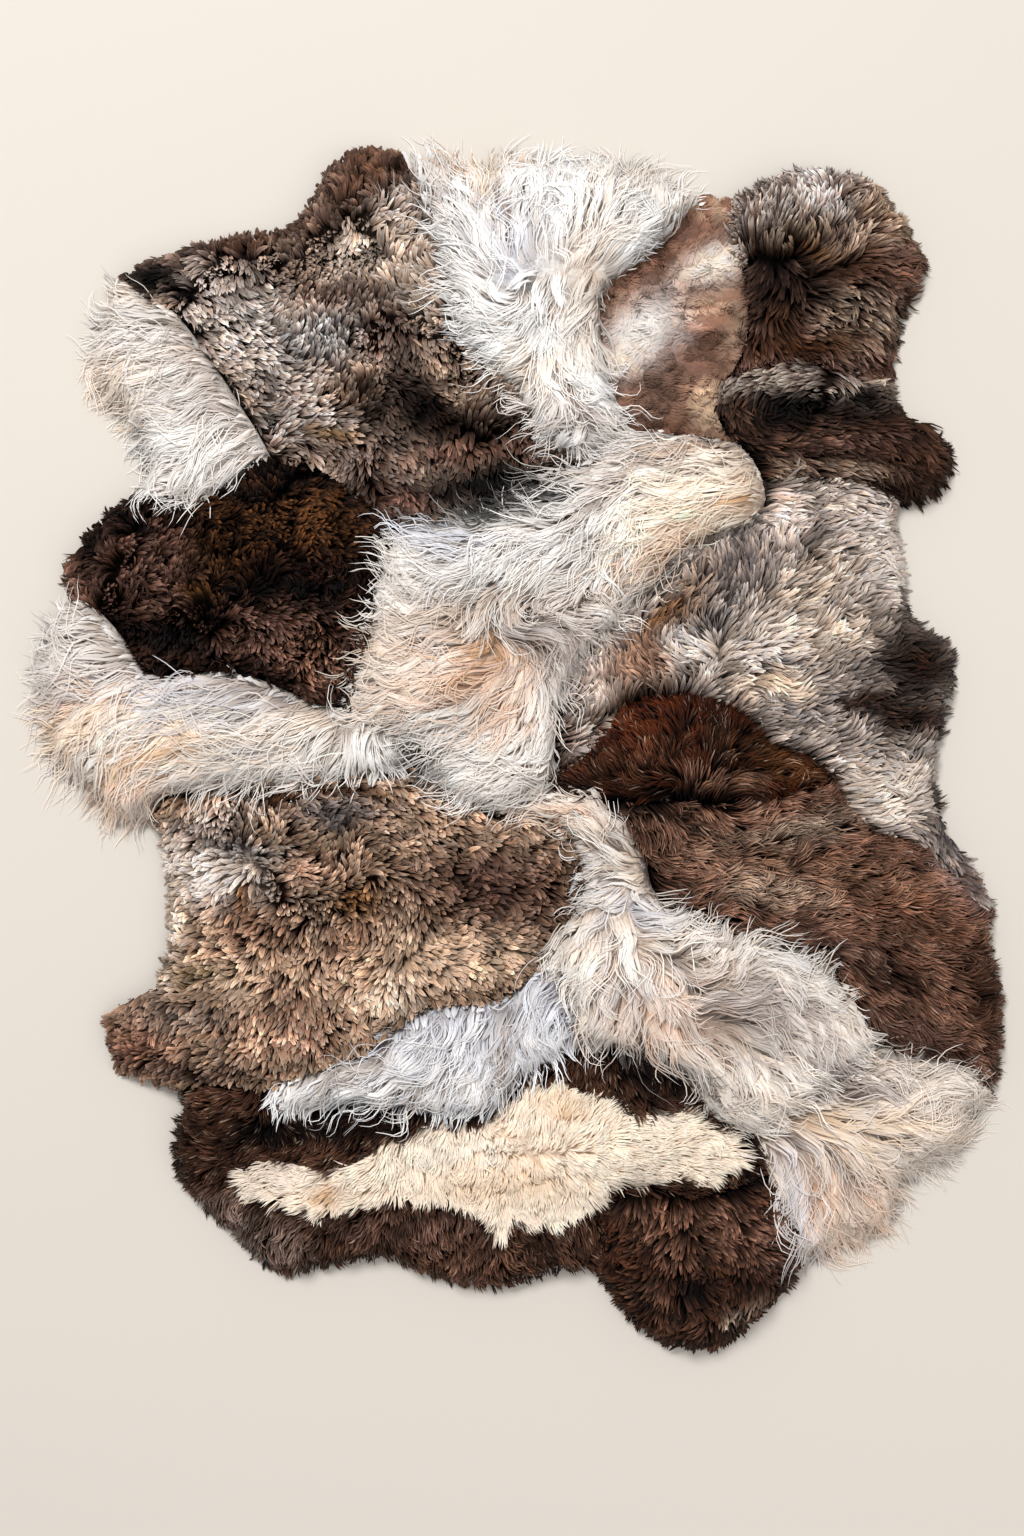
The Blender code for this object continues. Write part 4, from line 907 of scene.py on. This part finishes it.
def ribbons(grown, layer, colour, dice):  # each strand as a narrow ribbon that ends in a point
    line = grown["line"]
    count, levels = line.shape[:2]
    along = unit(np.gradient(line, axis=1))
    level = unit(np.stack([-along[..., 1], along[..., 0], np.zeros((count, levels))], -1))
    roll = np.radians(layer["roll"]) * dice.normal(0, growth["rollSpread"], count)[:, None, None]
    side = level * np.cos(roll) + np.cross(along, level) * np.sin(roll)
    slope = -np.stack([sampled(slopeX, line[..., :2]), sampled(slopeY, line[..., :2])], -1)
    pile = unit(np.concatenate([slope, np.ones((count, levels, 1))], -1))
    facing = np.cross(along, side) * (1 - layer["ease"]) + pile * layer["ease"]
    facing[..., :2] += grown["outward"]
    facing = unit(facing)
    widths = layer["width"] / 2 * dice.uniform(*growth["ribbonWidths"], count)[:, None, None]
    half = widths * np.array([*layer["shape"], 0])[:, None]
    each = 2 * levels - 1
    points, normals = np.empty((count, each, 3)), np.empty((count, each, 3))
    shades = np.ones((count, each, 4))
    for start, turn in ((0, -1), (1, 1)):
        points[:, start:-1:2] = (line + turn * side * half)[:, :-1]
        normals[:, start:-1:2] = unit(facing + turn * layer["cup"] * side)[:, :-1]
        shades[:, start:-1:2, :3] = colour[:, :-1]
    points[:, -1], normals[:, -1], shades[:, -1, :3] = line[:, -1], facing[:, -1], colour[:, -1]
    points[..., 2] = np.maximum(points[..., 2], growth["floorGap"])
    quads = [np.array([2 * i + 1, 2 * i, 2 * i + 2, 2 * i + 3]) for i in range(levels - 2)]
    order = np.concatenate([*quads, [each - 2, each - 3, each - 1]])
    across, up = np.empty(each), np.empty(each)
    across[0:-1:2], across[1:-1:2], across[-1] = 0.02, 0.98, 0.5  # just inside the strand's own map
    up[0:-1:2] = up[1:-1:2] = layer["levels"][:-1]
    up[-1] = 0.999
    return {
        "points": points, "normals": normals, "shades": shades, "order": order,
        "sizes": [4] * (levels - 2) + [3], "across": across, "up": up,
    }


def newObject(name, data):
    made = bpy.data.objects.new(name, data)
    bpy.context.scene.collection.objects.link(made)
    return made


def giveTint(mesh, shades):
    tint = mesh.color_attributes.new("woolTint", "FLOAT_COLOR", "POINT")
    tint.data.foreach_set("color", shades.ravel())


bakeCell = {"wide": 3, "side": 0.12, "end": 0.06}  # each strand has a cell of its own in the bake map


def woolMesh(name, grown, dice):  # all the ribbons of a skin as one mesh
    corners, sizes, strandMap, bakeMap = [], [], [], []
    total = sum(len(part["points"]) for part in grown)
    columns = math.ceil(math.sqrt(total * bakeCell["wide"]))
    rows = math.ceil(total / columns)
    firstPoint = firstStrand = 0
    for part in grown:
        count, each = part["points"].shape[:2]
        order = part["order"]
        corners.append((firstPoint + np.arange(count)[:, None] * each + order).ravel())
        sizes += part["sizes"] * count
        cell = np.arange(firstStrand, firstStrand + count)[:, None]
        u, v = part["across"][order], part["up"][order]
        shift = dice.integers(0, 500, (count, 2))  # so that no two strands have the same streaks
        strandMap.append(np.stack([u + shift[:, :1], v + shift[:, 1:]], -1).reshape(-1, 2))
        bakeU = (cell % columns + bakeCell["side"] + (1 - 2 * bakeCell["side"]) * u) / columns
        bakeV = (cell // columns + bakeCell["end"] + (1 - 2 * bakeCell["end"]) * v) / rows
        bakeMap.append(np.stack([bakeU, bakeV], -1).reshape(-1, 2))
        firstPoint += count * each
        firstStrand += count

    def joined(key, wide):
        return np.concatenate([part[key].reshape(-1, wide) for part in grown])

    points, corners, sizes = joined("points", 3), np.concatenate(corners), np.array(sizes)
    mesh = bpy.data.meshes.new(name)
    mesh.vertices.add(len(points))
    mesh.vertices.foreach_set("co", (points * mm).ravel())
    mesh.loops.add(len(corners))
    mesh.loops.foreach_set("vertex_index", corners)
    mesh.polygons.add(len(sizes))
    mesh.polygons.foreach_set("loop_start", np.concatenate([[0], np.cumsum(sizes)[:-1]]))
    mesh.polygons.foreach_set("use_smooth", np.ones(len(sizes), bool))
    mesh.update(calc_edges=True)
    giveTint(mesh, joined("shades", 4))
    for layer, places in (("strand", strandMap), ("OFBake", bakeMap)):
        mesh.uv_layers.new(name=layer).data.foreach_set("uv", np.concatenate(places).ravel())
    mesh.normals_split_custom_set_from_vertices(joined("normals", 3))
    return newObject(name, mesh)


class Tone:  # a socket that takes part in sums: each sum adds a Math node
    def __init__(self, paint, socket):
        self.paint, self.socket = paint, socket

    def sum(self, operation, a, b):
        return self.paint.add("ShaderNodeMath", {"operation": operation}, {0: a, 1: b})

    def __add__(self, other): return self.sum("ADD", self, other)
    def __radd__(self, other): return self.sum("ADD", other, self)
    def __sub__(self, other): return self.sum("SUBTRACT", self, other)
    def __rsub__(self, other): return self.sum("SUBTRACT", other, self)
    def __mul__(self, other): return self.sum("MULTIPLY", self, other)
    def __rmul__(self, other): return self.sum("MULTIPLY", other, self)
    def __pow__(self, other): return self.sum("POWER", self, other)
    def __rpow__(self, other): return self.sum("POWER", other, self)
    def fraction(self): return self.sum("FRACT", self, 0)


class Paint:  # a material and its nodes
    def __init__(self, name):
        self.material = bpy.data.materials.new(name)
        self.material.use_nodes = True
        self.nodes, self.links = self.material.node_tree.nodes, self.material.node_tree.links
        self.shader = self.nodes["Principled BSDF"]

    def add(self, kind, settings=None, sockets=None, out=0):
        node = self.nodes.new(kind)
        for key, value in (settings or {}).items():
            setattr(node, key, value)
        for key, value in (sockets or {}).items():
            self.feed(node.inputs[key], value)
        return Tone(self, node.outputs[out])

    def feed(self, socket, value):
        if isinstance(value, Tone):
            self.links.new(value.socket, socket)
        elif hasattr(value, "__len__") and socket.type == "RGBA":
            socket.default_value = (*value[:3], 1)
        else:
            socket.default_value = value

    def mix(self, share, a, b, blend="MIX"):
        return self.add("ShaderNodeMix", {"data_type": "RGBA", "blend_type": blend}, {0: share, 6: a, 7: b}, 2)

    def noise(self, place, scale, detail, roughness=0.5, settings=None):
        sockets = {"Vector": place, "Scale": scale, "Detail": detail, "Roughness": roughness}
        return self.add("ShaderNodeTexNoise", settings, sockets)

    def objectPlace(self):
        return self.add("ShaderNodeTexCoord", out=3)

    def tinted(self, pale):  # the wool's own colour, darker or lighter
        tint = self.add("ShaderNodeAttribute", {"attribute_name": "woolTint"})
        greys = self.add("ShaderNodeCombineColor", {}, {0: pale, 1: pale, 2: pale})
        return self.mix(1.0, tint, greys, "MULTIPLY")

    def bump(self, height, strength, distance):
        return self.add("ShaderNodeBump", {}, {"Strength": strength, "Distance": distance, "Height": height})

    def finish(self, **sockets):
        for key, value in sockets.items():
            self.feed(self.shader.inputs[key.replace("_", " ")], value)
        return self.material


# edge paints a highlight along each ribbon's edges; a negative edge (silky) paints shade there instead, to round the
# hair
woolFinish = {
    "silky": {"hairs": 5, "streak": 0.32, "mottle": 0.06, "edge": -0.14, "rough": 0.55, "gloss": 0.25, "sheen": 0.25},
    "leafy": {"hairs": 4, "streak": 0.6, "mottle": 0.4, "edge": 0.85, "rough": 0.6, "gloss": 0.06, "sheen": 0},
    "curled": {"hairs": 4, "streak": 0.7, "mottle": 0.6, "edge": 1.1, "rough": 0.55, "gloss": 0.05, "sheen": 0},
    "downy": {"hairs": 3, "streak": 0.6, "mottle": 0.44, "edge": 0.3, "rough": 0.6, "gloss": 0.04, "sheen": 0.04},
    "plush": {"hairs": 3, "streak": 0.24, "mottle": 0.6, "edge": 0, "rough": 0.8, "gloss": 0.1, "sheen": 0},
}
strandLook = {
    "hairsAlong": 2.2, "patchScale": 55, "edgeMean": 0.2, "bump": 0.3, "bumpDepth": 0.0006, "roughBy": 0.2,
    "sheenRough": 0.5,
}


def woolMaterial(name, finish):
    paint = Paint(name)
    strand = paint.add("ShaderNodeUVMap", {"uv_map": "strand"})
    across = paint.add("ShaderNodeSeparateXYZ", {}, {0: strand}).fraction()
    edge = (across * 2 - 1) ** 2
    stretch = (finish["hairs"], strandLook["hairsAlong"], 1)
    stretched = paint.add("ShaderNodeVectorMath", {"operation": "MULTIPLY"}, {0: strand, 1: stretch})
    hairs = paint.noise(stretched, 1, 1, settings={"noise_dimensions": "2D"})
    patch = paint.noise(paint.objectPlace(), strandLook["patchScale"], 2, 0.6)
    pale = 1 + (hairs - 0.5) * finish["streak"] + (patch - 0.5) * finish["mottle"]
    # painted highlight along the ribbon's edges, painted shade where the finish's edge is negative
    pale = pale + (edge * edge - strandLook["edgeMean"]) * finish["edge"]
    return paint.finish(
        Base_Color=paint.tinted(pale), Roughness=finish["rough"] + (hairs - 0.5) * strandLook["roughBy"],
        Specular_IOR_Level=finish["gloss"], Sheen_Weight=finish["sheen"], Sheen_Roughness=strandLook["sheenRough"],
        Normal=paint.bump(hairs, strandLook["bump"], strandLook["bumpDepth"]),
    )


# the underwool: a body of fine curls that the strands stand in
bedLook = {
    "step": 9.0, "stray": 2.5, "inset": 4, "edgeWidth": 14, "edgeShare": 0.8, "markingShare": 0.25,
    "lumps": (12, 2.5), "lowest": 3, "gap": 0.3, "whiteShade": 0.8,
    "curls": 260, "pale": (0.4, 1.1), "bump": 0.8, "bumpDepth": 0.002, "rough": 0.95, "gloss": 0.03,
}
hideLook = {
    "colour": (205, 184, 152), "worn": (176, 150, 116), "thick": 1.8, "rimInset": 9.0, "rimEasing": 4,
    "clouds": 9, "nap": 420, "bump": 0.5, "bumpDepth": 0.0008, "rough": 0.85, "roughBy": 0.2, "gloss": 0.2,
}


def bedMaterial(name):
    paint = Paint(name)
    curls = paint.noise(paint.objectPlace(), bedLook["curls"], 3, 0.65)
    least, spread = bedLook["pale"]
    return paint.finish(
        Base_Color=paint.tinted(least + curls * spread), Roughness=bedLook["rough"],
        Specular_IOR_Level=bedLook["gloss"], Normal=paint.bump(curls, bedLook["bump"], bedLook["bumpDepth"]),
    )


def hideMaterial(name):
    paint = Paint(name)
    place = paint.objectPlace()
    cloudy = paint.noise(place, hideLook["clouds"], 4, 0.6)
    nap = paint.noise(place, hideLook["nap"], 2, 0.7)
    return paint.finish(
        Base_Color=paint.mix(cloudy, linear(hideLook["colour"]), linear(hideLook["worn"])),
        Roughness=hideLook["rough"] + (nap - 0.5) * hideLook["roughBy"], Specular_IOR_Level=hideLook["gloss"],
        Normal=paint.bump(nap + cloudy, hideLook["bump"], hideLook["bumpDepth"]),
    )


def hideOutline(name):  # the skin's outline, drawn in and smoothed where it is the rug's rim
    free = freeOf(name, loops[name])
    eased = loops[name].copy()
    for _ in range(hideLook["rimEasing"]):
        middle = (np.roll(eased, 1, axis=0) + np.roll(eased, -1, axis=0) + eased) / 3
        eased[free] = middle[free]
    run = np.roll(eased, -2, axis=0) - np.roll(eased, 2, axis=0)
    inward = unit(np.stack([-run[:, 1], run[:, 0]], -1))
    eased[free] += inward[free] * hideLook["rimInset"]
    keep = np.ones(len(eased), bool)
    keep[free] = np.arange(free.sum()) % 2 == 0
    return eased[keep]


def areaOf(ring):
    return abs(np.cross(ring, np.roll(ring, -1, axis=0)).sum()) / 2


def slab(name, ring, top, bottom, inner=()):  # a closed body over the ring, with its top at the given heights
    places = [Vector(place) for place in (*ring, *inner)]
    net = geometry.delaunay_2d_cdt(places, [], [list(range(len(ring)))], 1, 1e-3)
    flat, faces = np.array([tuple(p) for p in net[0]]), [list(face) for face in net[2]]
    count = len(flat)
    points = np.concatenate([np.column_stack([flat, top(flat)]), np.column_stack([flat, np.full(count, bottom)])])
    sides = dict.fromkeys((face[i], face[(i + 1) % 3]) for face in faces for i in range(3))
    walls = [(b, a, a + count, b + count) for a, b in sides if (b, a) not in sides]
    mesh = bpy.data.meshes.new(name)
    under = [[i + count for i in reversed(face)] for face in faces]
    mesh.from_pydata((points * mm).tolist(), [], faces + under + walls)
    mesh.update()
    mesh.shade_smooth()
    return newObject(name, mesh), points


def makeBed(name, look, ring, seed):
    lines = [np.arange(low, high, bedLook["step"]) for low, high in zip(ring.min(0), ring.max(0))]
    inner = np.stack(np.meshgrid(*lines), -1).reshape(-1, 2)
    inner = inner + np.random.default_rng(seed).uniform(-bedLook["stray"], bedLook["stray"], inner.shape)
    inner = inner[signedDistance(inner, ring) < -bedLook["inset"]]
    firstLayer, marking = look["layers"][0], look.get("marking")
    lumpSize, lumpHeight = bedLook["lumps"]

    def top(place):
        edge = smoothStep(-signedDistance(place, ring), 0, bedLook["edgeWidth"])
        share = firstLayer["bed"] * (bedLook["edgeShare"] + (1 - bedLook["edgeShare"]) * edge)
        if marking:
            share = share + bedLook["markingShare"] * markingShare(place, marking["edge"])
        height = sampled(pileHeights, place) * share + lumpHeight * softNoise(place, lumpSize, seed)
        return np.maximum(height, bedLook["lowest"])

    made, points = slab(name + ".underwool", ring, top, hideLook["thick"] + bedLook["gap"], inner)
    body, _ = woolColours(points[:, :2], look["base"], look["patches"], seed)
    if marking:
        share = markingShare(points[:, :2], marking["edge"])[:, None]
        body += (linear(wools[marking["colours"][0]]) - body) * share
    # painted shade: the underwool takes the root shade of the first layer, lighter on white wool
    rootShade = firstLayer["rootShade"]
    shade = rootShade + max(bedLook["whiteShade"] - rootShade, 0) * paleness(body)
    giveTint(made.data, np.column_stack([body * shade, np.ones(len(body))]))
    return made


woolPaints = {name: woolMaterial(name + "Wool", finish) for name, finish in woolFinish.items()}
underwool, dressedHide = bedMaterial("underwoolCurls"), hideMaterial("dressedHide")
print("materials made,", len(woolPaints) + 2)


def dressSkin(name, look, seed):  # a skin's wool, hide and underwool, and the triangles that they take
    dice = np.random.default_rng(seed)
    grown = []
    for layer in look["layers"]:
        strands = strandLines(name, look, layer, seed, dice)
        grown.append(ribbons(strands, layer, strandColours(look, layer, strands, seed, dice), dice))
    wool = woolMesh(name + ".wool", grown, dice)
    ring = hideOutline(name)
    hide, _ = slab(name + ".leather", ring, lambda place: np.full(len(place), hideLook["thick"]), 0.0)
    bed = makeBed(name, look, ring, seed)
    for piece, material in ((wool, woolPaints[look["finish"]]), (hide, dressedHide), (bed, underwool)):
        piece.data.materials.append(material)
        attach(piece, "root")
    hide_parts(name)
    size = (ring.max(0) - ring.min(0)) * mm
    areaOf(ring) * mm * mm
    counts = [sum(len(face.vertices) - 2 for face in piece.data.polygons) for piece in (wool, hide, bed)]
    print(name, [len(part["points"]) for part in grown], "strands, triangles", counts)
    return sum(counts)


triangles = [dressSkin(name, look, 100 * (number + 1)) for number, (name, look) in enumerate(skinLooks.items())]
print("triangles in all", sum(triangles))

studio = {
    "floor": (214, 206, 196), "floorHalf": 6, "floorDrop": 0.0004, "sky": 0.45,
    "keyAt": (-1.1, 2.4, 4.2), "keySize": 1.8, "keyPower": 202,
    "fillAt": (1.8, -1.2, 2.6), "fillSize": 2.4, "fillPower": 22,
    "lens": 48, "filmWidth": 36, "distance": 2.05,
}


def makeFloor():
    mesh, half = bpy.data.meshes.new("floor"), studio["floorHalf"]
    mesh.from_pydata([(-half, -half, 0), (half, -half, 0), (half, half, 0), (-half, half, 0)], [], [(0, 1, 2, 3)])
    mesh.materials.append(Paint("plainFloor").finish(Base_Color=linear(studio["floor"]), Roughness=0.9))
    floor = newObject("floor", mesh)
    floor.location.z = -studio["floorDrop"]


def makeLight(name, at, size, power):
    data = bpy.data.lights.new(name, "AREA")
    data.shape, data.size, data.energy = "DISK", size, power
    lamp = newObject(name, data)
    lamp.location = at
    lamp.rotation_euler = (-Vector(at)).to_track_quat("-Z", "Y").to_euler()


def makeSky():
    world = bpy.data.worlds.new("studioSky")
    world.use_nodes = True
    world.node_tree.nodes["Background"].inputs["Color"].default_value = (1, 1, 1, 1)
    world.node_tree.nodes["Background"].inputs["Strength"].default_value = studio["sky"]
    bpy.context.scene.world = world


def makeCamera():
    data = bpy.data.cameras.new("camera")
    data.lens, data.sensor_width = studio["lens"], studio["filmWidth"]
    camera = newObject("camera", data)
    tilt = math.radians(patternSheet["tilt"])
    aim = Vector((-patternSheet["rugMiddle"][0] * mm, -patternSheet["rugMiddle"][1] * mm, 0))
    camera.location = aim + studio["distance"] * Vector((0, -math.sin(tilt), math.cos(tilt)))
    camera.rotation_euler = (tilt, 0, 0)
    bpy.context.scene.camera = camera


makeFloor()
makeLight("keyLight", studio["keyAt"], studio["keySize"], studio["keyPower"])
makeLight("fillLight", studio["fillAt"], studio["fillSize"], studio["fillPower"])
makeSky()
makeCamera()
bpy.context.scene.view_settings.view_transform = "Standard"
print("studio set")
